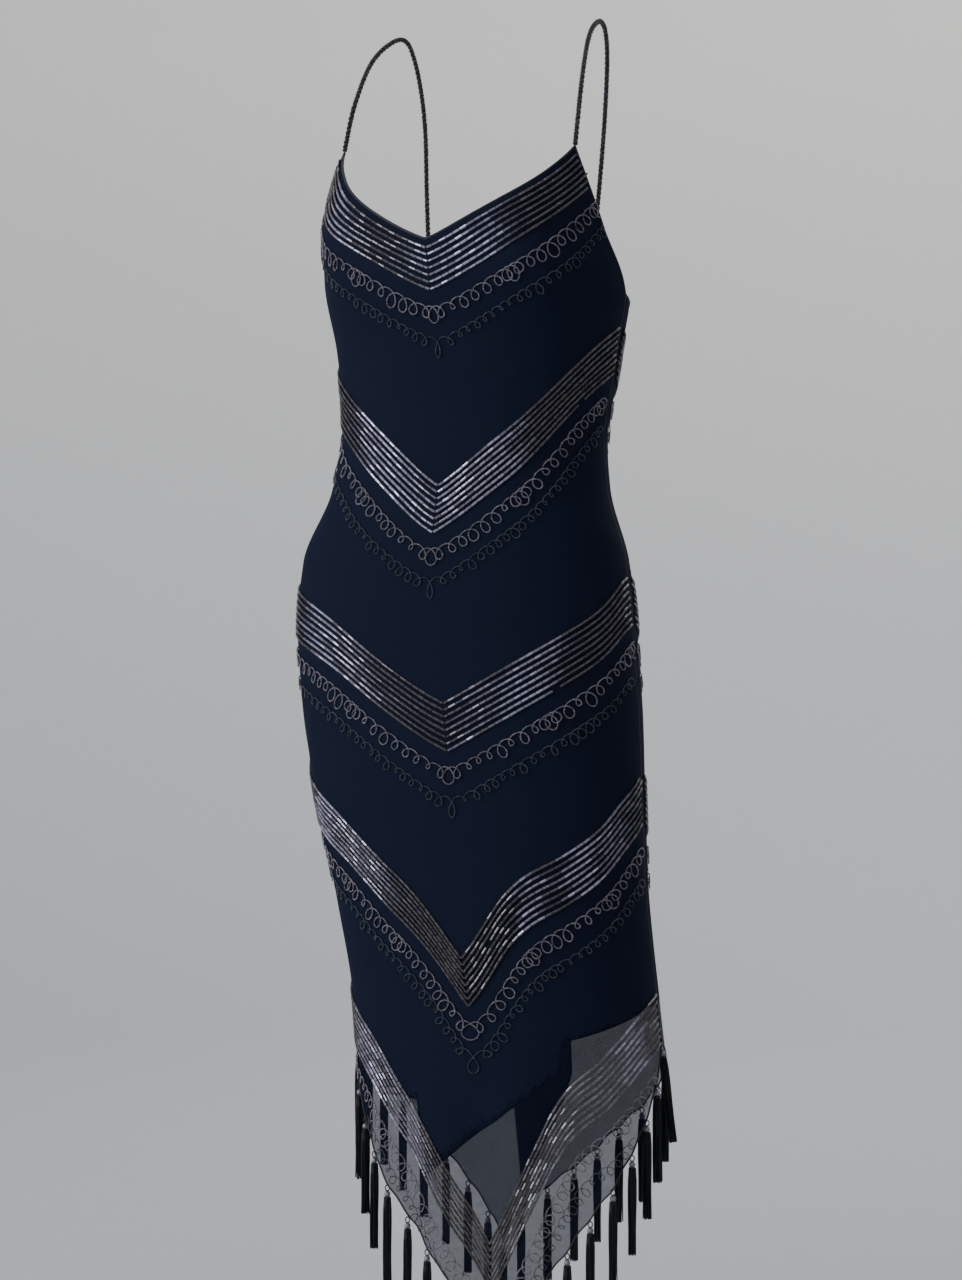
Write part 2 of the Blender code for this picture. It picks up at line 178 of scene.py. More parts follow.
def fullness(angle, height):
    """Give how far the cloth stands out from its section: cups, folds and creases."""
    total = np.zeros(np.broadcast(angle, height).shape)
    for side in (-1.0, 1.0):
        away = turned(angle, side * CUP_ANGLE) / CUP_SPREAD_ANGLE
        level = (height - CUP_HEIGHT) / CUP_SPREAD
        total += CUP_FULLNESS * np.exp(-away**2 - level**2)
    for place, spread, depth, begin, full in FOLDS:
        away = turned(angle, place) / spread
        total += depth * np.exp(-away**2) * smooth_step((height - begin) / (full - begin))
    for place, level, slant, length, spread, depth in CREASES:
        across = turned(angle, place) * CLOTH_PER_DEGREE
        up = height - level
        lean = math.radians(slant)
        along = across * math.cos(lean) + up * math.sin(lean)
        aside = up * math.cos(lean) - across * math.sin(lean)
        total += depth * np.exp(-(along / length)**2 - (aside / spread)**2)
    return total


def cloth_point(angle, height):
    """Give the points of the outer cloth's face at angles and heights."""
    angle, height = np.broadcast_arrays(np.asarray(angle, float), np.asarray(height, float))
    section = section_at(height)
    across, ahead = np.sin(np.radians(angle)), np.cos(np.radians(angle))
    depth = np.where(ahead > 0.0, section["front"], section["back"])
    power = 2.0 / SQUARENESS
    out = fullness(angle, height)
    x = section["half_width"] * np.sign(across) * np.abs(across)**power + out * across
    y = -depth * np.sign(ahead) * np.abs(ahead)**power - out * ahead
    turn = np.radians(section["turn"])
    return np.stack((x * np.cos(turn) + y * np.sin(turn) + section["shift_x"],
                     -x * np.sin(turn) + y * np.cos(turn) + section["shift_y"],
                     height - section["tilt"] * x), axis=-1)


def cloth_slopes(angle, height):
    """Give how the cloth's face runs for each degree round the body and each metre up."""
    angle_step, height_step = 0.4, 0.0008
    around = cloth_point(angle + angle_step, height) - cloth_point(angle - angle_step, height)
    upward = cloth_point(angle, height + height_step) - cloth_point(angle, height - height_step)
    return around / (2.0 * angle_step), upward / (2.0 * height_step)


def cloth_normal(angle, height):
    """Give the directions that face out of the cloth at angles and heights."""
    around, upward = cloth_slopes(angle, height)
    out = np.cross(around, upward)
    return out / np.linalg.norm(out, axis=-1, keepdims=True)


# Linings
# The dress is lined in opaque navy-black plain weave, a front and a back that are caught into
# the top edges and hang free, each cut to handkerchief points well above the sheer hem.
NECK_POINT = -0.221
NECK_BOW = 1.05
STRAP_ANGLE = 64.0
STRAP_FOOT = -0.124
UNDERARM = -0.262
ARMHOLE_BOW = 0.9
BACK_DIP = -0.290
BACK_TOP_BOW = 1.5
SEAM_ANGLE = 0.16
# The corners of the handkerchief hems: angles and heights.
FRONT_LINING_HEM = (
    (-90.0, -0.955), (-68.0, -0.968), (-45.0, -1.032), (-25.5, -1.036), (-24.0, -1.112),
    (7.0, -1.039), (27.0, -1.003), (28.5, -0.976), (74.0, -0.950), (90.0, -0.945),
)
BACK_LINING_HEM = (
    (90.0, -0.945), (150.0, -0.965), (167.0, -0.980), (168.5, -1.036),
    (187.5, -1.160), (189.0, -1.030), (235.0, -1.000), (270.0, -0.955),
)
LINING_INSET = 0.0012
LINING_THICKNESS = 0.0006
STITCHED_DEPTH = 0.010
STITCHED_ROWS = 4
LINING_COLUMNS = 96
LINING_ROWS = 90
WOBBLE_SIZE = 0.004
WOBBLE_REACH = 0.0009
CRINKLE_SIZE = 0.0014
SLUB_SIZE = 0.0011
SLUB_STRETCH = (1.0, 0.06, 1.0)
LINING_THREAD = 0.0005
LINING_CRINKLE = 0.10
LINING_BUMP = (0.00006, 0.3)
LINING_NAVY = (0.0032, 0.0064, 0.0170, 1.0)
LINING_NAVY_DEEP = (0.0025, 0.0050, 0.0135, 1.0)
FRONT_LINING_CUT = {"flat": (0.46, 1.02), "area": 0.33}
BACK_LINING_CUT = {"flat": (0.47, 0.91), "area": 0.292}


def front_top(angle):
    """Height of the front's top edge: a V neckline, then the armhole down to the side seam."""
    away = np.abs(angle)
    neck = NECK_POINT + (STRAP_FOOT - NECK_POINT) * (away / STRAP_ANGLE)**NECK_BOW
    part = np.clip((away - STRAP_ANGLE) / (90.0 - STRAP_ANGLE), 0.0, 1.0)
    armhole = STRAP_FOOT + (UNDERARM - STRAP_FOOT) * part**ARMHOLE_BOW
    return np.where(away <= STRAP_ANGLE, neck, armhole)


def back_top(angle):
    """Height of the back's top edge, a shallow dip from one underarm to the other."""
    away = np.abs(turned(angle, 180.0)) / 90.0
    return BACK_DIP + (UNDERARM - BACK_DIP) * away**BACK_TOP_BOW


def new_group(name, inputs, outputs):
    """Start a node group with named float and colour sockets, and give its nodes and ends."""
    group = bpy.data.node_groups.new(name, "ShaderNodeTree")
    for label, kind, value in inputs:
        socket = group.interface.new_socket(label, in_out="INPUT", socket_type=kind)
        socket.default_value = value
    for label, kind in outputs:
        group.interface.new_socket(label, in_out="OUTPUT", socket_type=kind)
    return group, group.nodes.new("NodeGroupInput"), group.nodes.new("NodeGroupOutput")


def math_node(tree, operation, first, second=None):
    """Add a Math node whose inputs are sockets or plain numbers, and give its output."""
    node = tree.nodes.new("ShaderNodeMath")
    node.operation = operation
    for socket, value in zip(node.inputs, (first, second)):
        if isinstance(value, bpy.types.NodeSocket):
            tree.links.new(value, socket)
        elif value is not None:
            socket.default_value = value
    return node.outputs[0]


def set_sockets(node, values):
    """Set the constants of a node's own input sockets."""
    for label, value in values.items():
        node.inputs[label].default_value = value


def coordinates(tree, kind):
    """Add texture coordinates and give their UV or Object output."""
    return tree.nodes.new("ShaderNodeTexCoord").outputs[kind]


def noise_node(tree, place, size, detail=2.0, roughness=0.5):
    """Add noise whose features are about size across, and give its output."""
    node = tree.nodes.new("ShaderNodeTexNoise")
    set_sockets(node, {"Scale": 1.0 / size, "Detail": detail, "Roughness": roughness})
    tree.links.new(place, node.inputs["Vector"])
    return node.outputs["Fac"]


def stretched(tree, place, scale):
    """Scale texture coordinates by an amount for each axis, and give the output."""
    node = tree.nodes.new("ShaderNodeMapping")
    node.inputs["Scale"].default_value = scale
    tree.links.new(place, node.inputs["Vector"])
    return node.outputs[0]


def weave_group():
    """Make the weave that both cloths share: crossing threads, crepe crinkle and slubs."""
    group, given, made = new_group(
        "cloth weave",
        (("Thread Pitch", "NodeSocketFloat", 0.0004), ("Crinkle", "NodeSocketFloat", 0.5)),
        (("Threads", "NodeSocketFloat"), ("Height", "NodeSocketFloat"),
         ("Slub", "NodeSocketFloat")))
    place = coordinates(group, "UV")
    axes = group.nodes.new("ShaderNodeSeparateXYZ")
    group.links.new(place, axes.inputs[0])
    wobble = noise_node(group, place, WOBBLE_SIZE, 3.0)
    waves = []
    for axis in ("X", "Y"):
        bent = math_node(group, "MULTIPLY_ADD", wobble, WOBBLE_REACH)
        group.links.new(axes.outputs[axis], bent.node.inputs[2])
        turns = math_node(group, "DIVIDE", bent, given.outputs["Thread Pitch"])
        wave = math_node(group, "SINE", math_node(group, "MULTIPLY", turns, 2.0 * math.pi))
        waves.append(math_node(group, "ABSOLUTE", wave))
    threads = math_node(group, "MAXIMUM", waves[0], waves[1])
    crinkle = noise_node(group, place, CRINKLE_SIZE, 3.0, 0.6)
    crinkled = math_node(group, "MULTIPLY", crinkle, given.outputs["Crinkle"])
    slub = noise_node(group, stretched(group, place, SLUB_STRETCH), SLUB_SIZE, 2.0, 0.7)
    group.links.new(threads, made.inputs["Threads"])
    group.links.new(math_node(group, "ADD", math_node(group, "MULTIPLY", threads, 0.5), crinkled),
                    made.inputs["Height"])
    group.links.new(slub, made.inputs["Slub"])
    return group


def new_material(name):
    """Start a material with its Principled shader, and give its node tree and shader."""
    material = bpy.data.materials.new(name)
    material.use_nodes = True
    return material, material.node_tree, material.node_tree.nodes["Principled BSDF"]


def mix_colour(tree, share, first, second):
    """Mix two colours by a socket that runs from 0 to 1, and give the output."""
    node = tree.nodes.new("ShaderNodeMix")
    node.data_type = "RGBA"
    tree.links.new(share, node.inputs["Factor"])
    for label, value in (("A", first), ("B", second)):
        socket = next(item for item in node.inputs if item.name == label and item.type == "RGBA")
        if isinstance(value, bpy.types.NodeSocket):
            tree.links.new(value, socket)
        else:
            socket.default_value = value
    return next(item for item in node.outputs if item.type == "RGBA")


def bump_node(tree, height, depth, strength):
    """Raise the surface by a height socket, depth metres at most, and give the normal."""
    node = tree.nodes.new("ShaderNodeBump")
    set_sockets(node, {"Distance": depth, "Strength": strength})
    tree.links.new(height, node.inputs["Height"])
    return node.outputs["Normal"]


def finish_surface(tree, shader, share, colours, height, bump, values):
    """Feed a shader two mixed colours, a bump of a depth and strength, and its constants."""
    tree.links.new(mix_colour(tree, share, *colours), shader.inputs["Base Color"])
    tree.links.new(bump_node(tree, height, *bump), shader.inputs["Normal"])
    set_sockets(shader, values)


def place_group(tree, group, values):
    """Put a shared node group into a material with its own values."""
    node = tree.nodes.new("ShaderNodeGroup")
    node.node_tree = group
    set_sockets(node, values)
    return node


weave_nodes = weave_group()
lining_material, tree, shader = new_material("navy black lining")
weave = place_group(tree, weave_nodes, {"Thread Pitch": LINING_THREAD, "Crinkle": LINING_CRINKLE})
finish_surface(tree, shader, weave.outputs["Slub"], (LINING_NAVY_DEEP, LINING_NAVY),
               weave.outputs["Height"], LINING_BUMP,
               {"Roughness": 0.66, "Specular IOR Level": 0.10, "Sheen Weight": 0.02,
                "Sheen Roughness": 0.5})


def add_piece(name, mesh, materials, replaces=()):
    """Put a mesh on the dress as a piece, with its materials, under the root, hiding the solids it
    replaces.
    """
    for material in materials:
        mesh.materials.append(material)
    piece = bpy.data.objects.new(name, mesh)
    bpy.context.scene.collection.objects.link(piece)
    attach(piece, "root")
    if replaces:
        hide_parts(*replaces)
    return piece


def cloth_sheet(name, angles, heights, inset, thickness, material, replaces):
    """Lay one sheet of cloth on the worn form from grids of angles and heights."""
    points = cloth_point(angles, heights) - cloth_normal(angles, heights) * inset
    rows, columns = angles.shape
    corner = np.arange(rows * columns).reshape(rows, columns)
    faces = np.stack((corner[:-1, :-1], corner[1:, :-1], corner[1:, 1:], corner[:-1, 1:]), axis=-1)
    mesh = bpy.data.meshes.new(name)
    mesh.from_pydata(points.reshape(-1, 3).tolist(), [], faces.reshape(-1, 4).tolist())
    cut = mesh.uv_layers.new(name="cut")
    flat = np.stack((angles * CLOTH_PER_DEGREE, heights), axis=-1).reshape(-1, 2)
    cut.data.foreach_set("uv", flat[faces.reshape(-1)].ravel())
    mesh.shade_smooth()
    piece = add_piece(name, mesh, [material], replaces)
    wall = piece.modifiers.new("cloth thickness", "SOLIDIFY")
    wall.thickness = thickness
    wall.offset = -1.0
    return piece


def columns_between(start, end, count, corners=()):
    """Spread columns evenly from start to end, and put one on each corner too."""
    angles = np.linspace(start, end, count)
    for corner in corners:
        if start < corner < end:
            angles[np.argmin(np.abs(angles - corner))] = corner
    return angles


def rows_down(angles, top, hem, count):
    """Spread rows from a top edge to a hem, closer in the stitched edge."""
    stitched = np.linspace(0.0, STITCHED_DEPTH, STITCHED_ROWS)[:, None]
    down = np.linspace(0.0, 1.0, count - STITCHED_ROWS + 1)[1:, None]
    highest, lowest = top(angles)[None, :], hem(angles)[None, :]
    upper = highest - stitched
    lower = highest - STITCHED_DEPTH + (lowest - highest + STITCHED_DEPTH) * down
    heights = np.concatenate((upper, lower))
    return np.broadcast_to(angles, heights.shape), heights


def corner_hem(corners):
    """Make the function of a hem that runs straight from corner to corner."""
    places, heights = zip(*corners)
    return lambda angle: np.interp(angle, places, heights)


for name, start, top, hem_corners, cut in (
        ("front_lining_cloth", -90.0, front_top, FRONT_LINING_HEM, FRONT_LINING_CUT),
        ("back_lining_cloth", 90.0, back_top, BACK_LINING_HEM, BACK_LINING_CUT)):
    columns = columns_between(start + SEAM_ANGLE, start + 180.0 - SEAM_ANGLE, LINING_COLUMNS,
                              [corner[0] for corner in hem_corners])
    angles, heights = rows_down(columns, top, corner_hem(hem_corners), LINING_ROWS)
    lining = cloth_sheet(name, angles, heights, LINING_INSET, LINING_THICKNESS,
                         lining_material, [name.replace("_cloth", "")])


# Outer georgette
# Sheer crepe georgette, a front and a back joined at the side seams. It falls from the top edge
# to two long points, and the tassels pull the fine rolled hem into shallow scallops.
FRONT_HEM_POINT = -1.255
BACK_HEM_POINT = -1.210
BACK_POINT_ANGLE = 195.0
SIDE_HEM = -0.985
FRONT_HEM_BOW = 0.86
BACK_HEM_BOW = 0.72
GEORGETTE_THICKNESS = 0.0005
SCALLOP_RISE = 0.0026
OUTER_COLUMNS = 150
OUTER_ROWS = 170
GEORGETTE_NAVY = (0.0095, 0.0127, 0.0276, 1.0)
GEORGETTE_NAVY_DEEP = (0.0079, 0.0106, 0.0231, 1.0)
GEORGETTE_THREAD = 0.00042
GEORGETTE_CRINKLE = 0.5
GEORGETTE_BUMP = (0.00007, 0.35)
CLOUD_SIZE = 0.0075
GEORGETTE_COVER = 0.455
GEORGETTE_THREAD_COVER = 0.08
GEORGETTE_CLOUD_COVER = 0.14
TIE_DEPTH = 0.001
CUT_END_DEPTH = 0.003
HEM_STEPS = 1801
LINED_MARGIN = 0.0005
LINED_FADE = 0.002
LINED_SIDE = 0.8
FRONT_CLOTH_CUT = {"flat": (0.46, 1.16), "area": 0.39}
BACK_CLOTH_CUT = {"flat": (0.47, 0.96), "area": 0.337}


def front_hem(angle):
    """Height of the front's pointed hem."""
    return FRONT_HEM_POINT + (SIDE_HEM - FRONT_HEM_POINT) * (np.abs(angle) / 90.0)**FRONT_HEM_BOW


def back_hem(angle):
    """Height of the back's pointed hem, which is shorter than the front's."""
    seam = np.where(angle < BACK_POINT_ANGLE, 90.0, 270.0)
    away = np.clip((angle - BACK_POINT_ANGLE) / (seam - BACK_POINT_ANGLE), 0.0, 1.0)
    return BACK_HEM_POINT + (SIDE_HEM - BACK_HEM_POINT) * away**BACK_HEM_BOW


def tassel_line(node):
    """Give where a solid tassel is tied on, and the middle of its cut end."""
    corners = np.array([vert.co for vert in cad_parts[node].data.vertices])
    top = corners[corners[:, 2] > corners[:, 2].max() - TIE_DEPTH].mean(axis=0)
    end = corners[corners[:, 2] < corners[:, 2].min() + CUT_END_DEPTH].mean(axis=0)
    return top, end


def tied_angles(label, start, hem):
    """Give the angles at which tassels hang from a hem, with its two seams as the ends."""
    fine = np.linspace(start, start + 180.0, HEM_STEPS)
    edge = cloth_point(fine, hem(fine))
    found = [start]
    for node in sorted(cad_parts):
        if node.startswith(label):
            top, _ = tassel_line(node)
            found.append(fine[np.argmin(np.linalg.norm(edge - top, axis=1))])
    return np.array(sorted(found) + [start + 180.0])


def scalloped(hem, ties):
    """Lift a hem a little between the tassels that weigh it down."""
    def edge(angle):
        gap = np.clip(np.searchsorted(ties, angle) - 1, 0, len(ties) - 2)
        part = (angle - ties[gap]) / (ties[gap + 1] - ties[gap])
        return hem(angle) + SCALLOP_RISE * np.sin(np.pi * np.clip(part, 0.0, 1.0))**2
    return edge


def lined_share(angles, heights, lining_hem):
    """Give 1 where the opaque lining lies right behind the cloth, fading out above its hem."""
    beside = [lining_hem(angles + step) for step in (-LINED_SIDE, 0.0, LINED_SIDE)]
    above = heights - np.maximum.reduce(beside) - LINED_MARGIN
    return smooth_step(above / LINED_FADE)


georgette, tree, shader = new_material("sheer midnight georgette")
weave = place_group(tree, weave_nodes,
                    {"Thread Pitch": GEORGETTE_THREAD, "Crinkle": GEORGETTE_CRINKLE})
finish_surface(tree, shader, weave.outputs["Slub"], (GEORGETTE_NAVY_DEEP, GEORGETTE_NAVY),
               weave.outputs["Height"], GEORGETTE_BUMP,
               {"Roughness": 0.70, "Specular IOR Level": 0.02})
cloud = noise_node(tree, coordinates(tree, "UV"), CLOUD_SIZE, 3.0, 0.6)
cover = math_node(tree, "MULTIPLY", weave.outputs["Threads"], GEORGETTE_THREAD_COVER)
clouded = math_node(tree, "MULTIPLY", cloud, GEORGETTE_CLOUD_COVER)
cover = math_node(tree, "ADD", cover, clouded)
bare = GEORGETTE_COVER - (GEORGETTE_THREAD_COVER + GEORGETTE_CLOUD_COVER) / 2.0
lined = tree.nodes.new("ShaderNodeAttribute")
lined.attribute_name = "lined"
cover = math_node(tree, "MAXIMUM", math_node(tree, "ADD", cover, bare), lined.outputs["Fac"])
tree.links.new(cover, shader.inputs["Alpha"])

front_ties = tied_angles("tassel_front", -90.0, front_hem)
back_ties = tied_angles("tassel_back", 90.0, back_hem)
front_edge = scalloped(front_hem, front_ties)
back_edge = scalloped(back_hem, back_ties)

for name, node, start, top, hem, lining_corners, cut in (
        ("front_georgette", "front_panel", -90.0, front_top, front_edge, FRONT_LINING_HEM,
         FRONT_CLOTH_CUT),
        ("back_georgette", "back_panel", 90.0, back_top, back_edge, BACK_LINING_HEM,
         BACK_CLOTH_CUT)):
    columns = columns_between(start + SEAM_ANGLE, start + 180.0 - SEAM_ANGLE, OUTER_COLUMNS,
                              (-STRAP_ANGLE, 0.0, STRAP_ANGLE, BACK_POINT_ANGLE))
    angles, heights = rows_down(columns, top, hem, OUTER_ROWS)
    cloth = cloth_sheet(name, angles, heights, 0.0, GEORGETTE_THICKNESS, georgette,
                        [node])
    lined = cloth.data.attributes.new("lined", "FLOAT", "POINT")
    share = lined_share(angles, heights, corner_hem(lining_corners))
    lined.data.foreach_set("value", share.ravel().astype(np.float32))


# Edge bindings, side seams and rolled hems
# The top edges are bound over both cloths with a narrow bias strip, the side seams are felled
# flat, and the sheer hem is rolled and whipped with black silk, thin as a cord.
BINDING_RADIUS = 0.0013
BINDING_OVERLAP = 0.0007
BINDING_SINK = BINDING_RADIUS * 0.6
BINDING_SIDES = 8
THIN_SIDES = 6
SEAM_RADIUS = 0.0011
SEAM_SINK = 0.0006
HEM_RADIUS = 0.00085
PLAIN_TONE = 0.5
EDGE_POINTS = 260
SEAM_POINTS = 120
HEM_POINTS = 420
SILK_BLACK = (0.0045, 0.0050, 0.0070, 1.0)
SILK_SHEEN_BLACK = (0.0150, 0.0160, 0.0200, 1.0)
SILK_FIBRE = 0.0007
SILK_BUMP = (0.0002, 0.6)
WHIP_PITCH = 0.0011
WAVES_PER_UNIT = 20.0


def unit(vectors):
    """Scale vectors to a length of one."""
    return vectors / np.maximum(np.linalg.norm(vectors, axis=-1, keepdims=True), 1e-12)


def ring_faces(rings, sides):
    """Give the faces that join each ring of a round wall to the next."""
    corner = np.arange(rings * sides).reshape(rings, sides)
    after = np.roll(corner, -1, axis=1)
    return np.stack((corner[:-1], after[:-1], after[1:], corner[1:]), axis=-1).reshape(-1, 4)


def turns_round(count):
    """Give evenly spaced angles once round a circle."""
    return np.linspace(0.0, 2.0 * np.pi, count, endpoint=False)


def tube_parts(path, radius, sides, out):
    """Give the points and faces of a closed round tube along a path, facing out."""
    path = np.asarray(path, float)
    radius = np.broadcast_to(radius, len(path))
    ahead = unit(np.gradient(path, axis=0))
    out = unit(out - ahead * (out * ahead).sum(axis=-1, keepdims=True))
    side = np.cross(ahead, out)
    turn = turns_round(sides)
    ring = np.cos(turn)[None, :, None] * out[:, None] + np.sin(turn)[None, :, None] * side[:, None]
    points = path[:, None] + ring * radius[:, None, None]
    first, last = np.arange(sides), np.arange(sides) + (len(path) - 1) * sides
    faces = ring_faces(len(path), sides).tolist() + [first[::-1].tolist(), last.tolist()]
    return points.reshape(-1, 3), faces


def joined_mesh(name, parts):
    """Join lists of points, faces, material numbers and bead tones into one mesh."""
    points, faces, numbers, tones, count = [], [], [], [], 0
    for part_points, part_faces, number, tone in parts:
        points.append(part_points)
        faces += [[corner + count for corner in face] for face in part_faces]
        numbers += [number] * len(part_faces)
        tones.append(np.broadcast_to(tone, len(part_points)))
        count += len(part_points)
    mesh = bpy.data.meshes.new(name)
    mesh.from_pydata(np.concatenate(points).tolist(), [], faces)
    mesh.polygons.foreach_set("material_index", numbers)
    tone = mesh.attributes.new("tone", "FLOAT", "POINT")
    tone.data.foreach_set("value", np.concatenate(tones).astype(np.float32))
    mesh.shade_smooth()
    return mesh


silk, tree, shader = new_material("whipped black silk")
place = coordinates(tree, "Object")
fibres = noise_node(tree, place, SILK_FIBRE, 3.0, 0.6)
whips = tree.nodes.new("ShaderNodeTexWave")
whips.wave_type = "BANDS"
whips.bands_direction = "DIAGONAL"
set_sockets(whips, {"Scale": 1.0 / (WHIP_PITCH * WAVES_PER_UNIT), "Distortion": 1.5})
tree.links.new(place, whips.inputs["Vector"])
finish_surface(tree, shader, fibres, (SILK_BLACK, SILK_SHEEN_BLACK), whips.outputs["Fac"],
               SILK_BUMP, {"Roughness": 0.55, "Specular IOR Level": 0.35, "Sheen Weight": 0.1})


def edge_cord(name, angles, heights, radius, inward, sides):
    """Run a thin cord along an edge of the worn cloth."""
    out = cloth_normal(angles, heights)
    parts = tube_parts(cloth_point(angles, heights) - out * inward, radius, sides, out)
    add_piece(name, joined_mesh(name, [(*parts, 0, PLAIN_TONE)]), [silk])


front_angles = columns_between(-90.0 + SEAM_ANGLE, 90.0 - SEAM_ANGLE, EDGE_POINTS,
                               (-STRAP_ANGLE, 0.0, STRAP_ANGLE))
back_angles = np.linspace(90.0 + SEAM_ANGLE, 270.0 - SEAM_ANGLE, EDGE_POINTS)
for name, angles, top in (("front_edge_binding", front_angles, front_top),
                          ("back_edge_binding", back_angles, back_top)):
    edge_cord(name, angles, top(angles) - BINDING_OVERLAP, BINDING_RADIUS, BINDING_SINK,
              BINDING_SIDES)
for name, angle in (("side_seam_left", 90.0), ("side_seam_right", -90.0)):
    heights = np.linspace(UNDERARM - BINDING_RADIUS, SIDE_HEM + HEM_RADIUS, SEAM_POINTS)
    edge_cord(name, np.full(SEAM_POINTS, angle), heights, SEAM_RADIUS, SEAM_SINK, THIN_SIDES)
for name, start, edge in (("front_rolled_hem", -90.0, front_edge),
                          ("back_rolled_hem", 90.0, back_edge)):
    angles = np.linspace(start, start + 180.0, HEM_POINTS)
    edge_cord(name, angles, edge(angles), HEM_RADIUS, GEORGETTE_THICKNESS / 2.0, THIN_SIDES)


# Bugle bead bands
# Five bands of glass bugle beads on the front, each eight rows deep, follow the neckline and
# four chevrons. The upper three chevrons go on round the back. Each bead is stitched down along
# its row. The beads are brown-grey, and stretches of them are painted a brighter lilac as painted
# glints, where they would catch the light.
BEAD_ROWS = 8
ROW_PITCH = 0.0064
BUGLE_LENGTH = 0.0074
BUGLE_GAP = 0.0004
BUGLE_RADIUS = 0.00124
BUGLE_SIDES = 6
BUGLE_BEVEL = 0.00030
BUGLE_MOUTH = 0.70
BEAD_MISSING = 0.002
BEAD_SINK = 0.9
FIRST_BEAD_SHARE = (0.45, 1.0)
LENGTH_SPREAD = 0.012
RADIUS_SPREAD = 0.04
TILT_SPREAD = 0.012
GLOW_RANGE = (0.45, 1.25)
ROW_STEPS = 400
MITRE_GAP = 0.0006
EDGE_MARGIN = 0.0024
SEAM_MARGIN = 1.1
FRONT_SEAMS, BACK_SEAMS = (-90.0, 90.0), (90.0, 270.0)
NECK_BAND_DROP = 0.0028
BACK_CHEVRON_DEPTH = 0.78
# Each chevron: the angles and heights of its upper edge.
CHEVRONS = (
    ((-90.0, -0.322), (-71.0, -0.339), (-57.0, -0.353), (-42.0, -0.373), (-28.0, -0.396),
     (-16.0, -0.418), (0.0, -0.451), (15.0, -0.420), (32.0, -0.389), (45.0, -0.363),
     (60.0, -0.333), (73.0, -0.312), (90.0, -0.292)),
    ((-90.0, -0.538), (-60.0, -0.556), (-45.0, -0.569), (-33.0, -0.585), (-16.0, -0.619),
     (2.0, -0.658), (13.0, -0.639), (27.0, -0.617), (42.0, -0.596), (62.0, -0.570),
     (79.0, -0.545), (90.0, -0.536)),
    ((-90.0, -0.712), (-57.0, -0.750), (-44.0, -0.768), (-27.0, -0.807), (-16.0, -0.836),
     (-10.0, -0.859), (-2.0, -0.899), (5.0, -0.871), (13.0, -0.842), (21.0, -0.823),
     (37.0, -0.802), (55.0, -0.777), (68.0, -0.754), (90.0, -0.725)),
    ((-90.0, -0.930), (-57.0, -0.966), (-43.0, -0.990), (-33.0, -1.021), (-24.0, -1.054),
     (-10.0, -1.117), (-1.0, -1.166), (5.0, -1.127), (13.0, -1.080), (25.0, -1.029),
     (43.0, -0.994), (54.0, -0.975), (69.0, -0.953), (90.0, -0.936)),
)
BACK_CHEVRON_POINTS = (180.0, 181.0, 183.0)
LUSTRE_CLOUD = 0.030
SCRATCH_SIZE = 0.0016
GLASS_IOR = 1.52
# The bugles' own dark brown-grey, and the lilac of the painted glints that brighten whole
# stretches.
BUGLE_DARK = (0.074, 0.065, 0.063, 1.0)
BUGLE_PAINTED_GLINT = (0.470, 0.435, 0.560, 1.0)
# The painted glints of each band, stretches of beads painted brighter as highlights:
# angle, spread and strength.
PAINTED_GLINTS = (
    ((-38.0, 8.0, 0.90), (12.0, 14.0, 0.90)),
    ((-20.0, 18.0, 0.90), (16.0, 17.0, 0.75)),
    ((-44.0, 9.0, 0.95), (-28.0, 7.0, 0.35), (31.0, 11.0, 0.90), (13.0, 7.0, 0.40)),
    ((-57.0, 9.0, 0.95), (-37.0, 11.0, 0.35), (23.0, 5.0, 0.75), (45.0, 6.5, 0.95),
     (66.0, 12.0, 0.25)),
    ((-52.0, 12.0, 0.60), (-30.0, 9.0, 0.40), (36.0, 22.0, 0.26), (60.0, 8.0, 0.75)),
)
PAINTED_GLINT_RAGGED = 2.5
DULL_TONE = 0.07
RANDOM_START = 11


def smooth_between(places, heights, angle):
    """Read a smooth curve through corners, with the mean slope of its two sides at each."""
    steps = np.diff(heights) / np.diff(places)
    slopes = np.concatenate((steps[:1], (steps[:-1] + steps[1:]) / 2.0, steps[-1:]))
    low = np.clip(np.searchsorted(places, angle) - 1, 0, len(places) - 2)
    span = places[low + 1] - places[low]
    part = np.clip((angle - places[low]) / span, 0.0, 1.0)
    return cubic(part, heights[low], heights[low + 1], span * slopes[low], span * slopes[low + 1])


def read_chart(chart, angle):
    """Read a chart of angles and heights, smoothly but with its lowest corner kept sharp."""
    places, heights = (np.array(column) for column in zip(*chart))
    low = int(np.argmin(heights))
    return np.where(angle <= places[low],
                    smooth_between(places[:low + 1], heights[:low + 1], angle),
                    smooth_between(places[low:], heights[low:], angle))


def front_chevron(number):
    """Make the function of a front chevron's upper edge, and give its point."""
    chart = CHEVRONS[number]
    point = min(chart, key=lambda corner: corner[1])[0]
    return lambda angle: read_chart(chart, angle), point


def back_chevron(number):
    """Make the function of a back chevron, which meets the front's at both side seams."""
    chart, point = CHEVRONS[number], BACK_CHEVRON_POINTS[number]
    front_point = min(chart, key=lambda corner: corner[1])[0]

    def edge(angle):
        away = np.where(angle < point, (point - angle) / (point - 90.0),
                        (angle - point) / (270.0 - point))
        seam = np.where(angle < point, 90.0, -90.0)
        mirrored = front_point + (seam - front_point) * np.clip(away, 0.0, 1.0)
        side = read_chart(chart, seam)
        return side + (read_chart(chart, mirrored) - side) * BACK_CHEVRON_DEPTH
    return edge, point


def bead_shape(sides, rings):
    """Give a bead's points and faces from rings of (place along, radius), one unit long."""
    turn = turns_round(sides)
    points = [(along, radius * math.cos(angle), radius * math.sin(angle))
              for along, radius in rings for angle in turn]
    end = np.arange(sides)
    ends = np.array([end[::-1], end + (len(rings) - 1) * sides])
    return np.array(points), ring_faces(len(rings), sides), ends


def swung(turn, first, second):
    """Turn from a first direction towards a second one, by an angle for each point."""
    return np.cos(turn)[:, None] * first + np.sin(turn)[:, None] * second


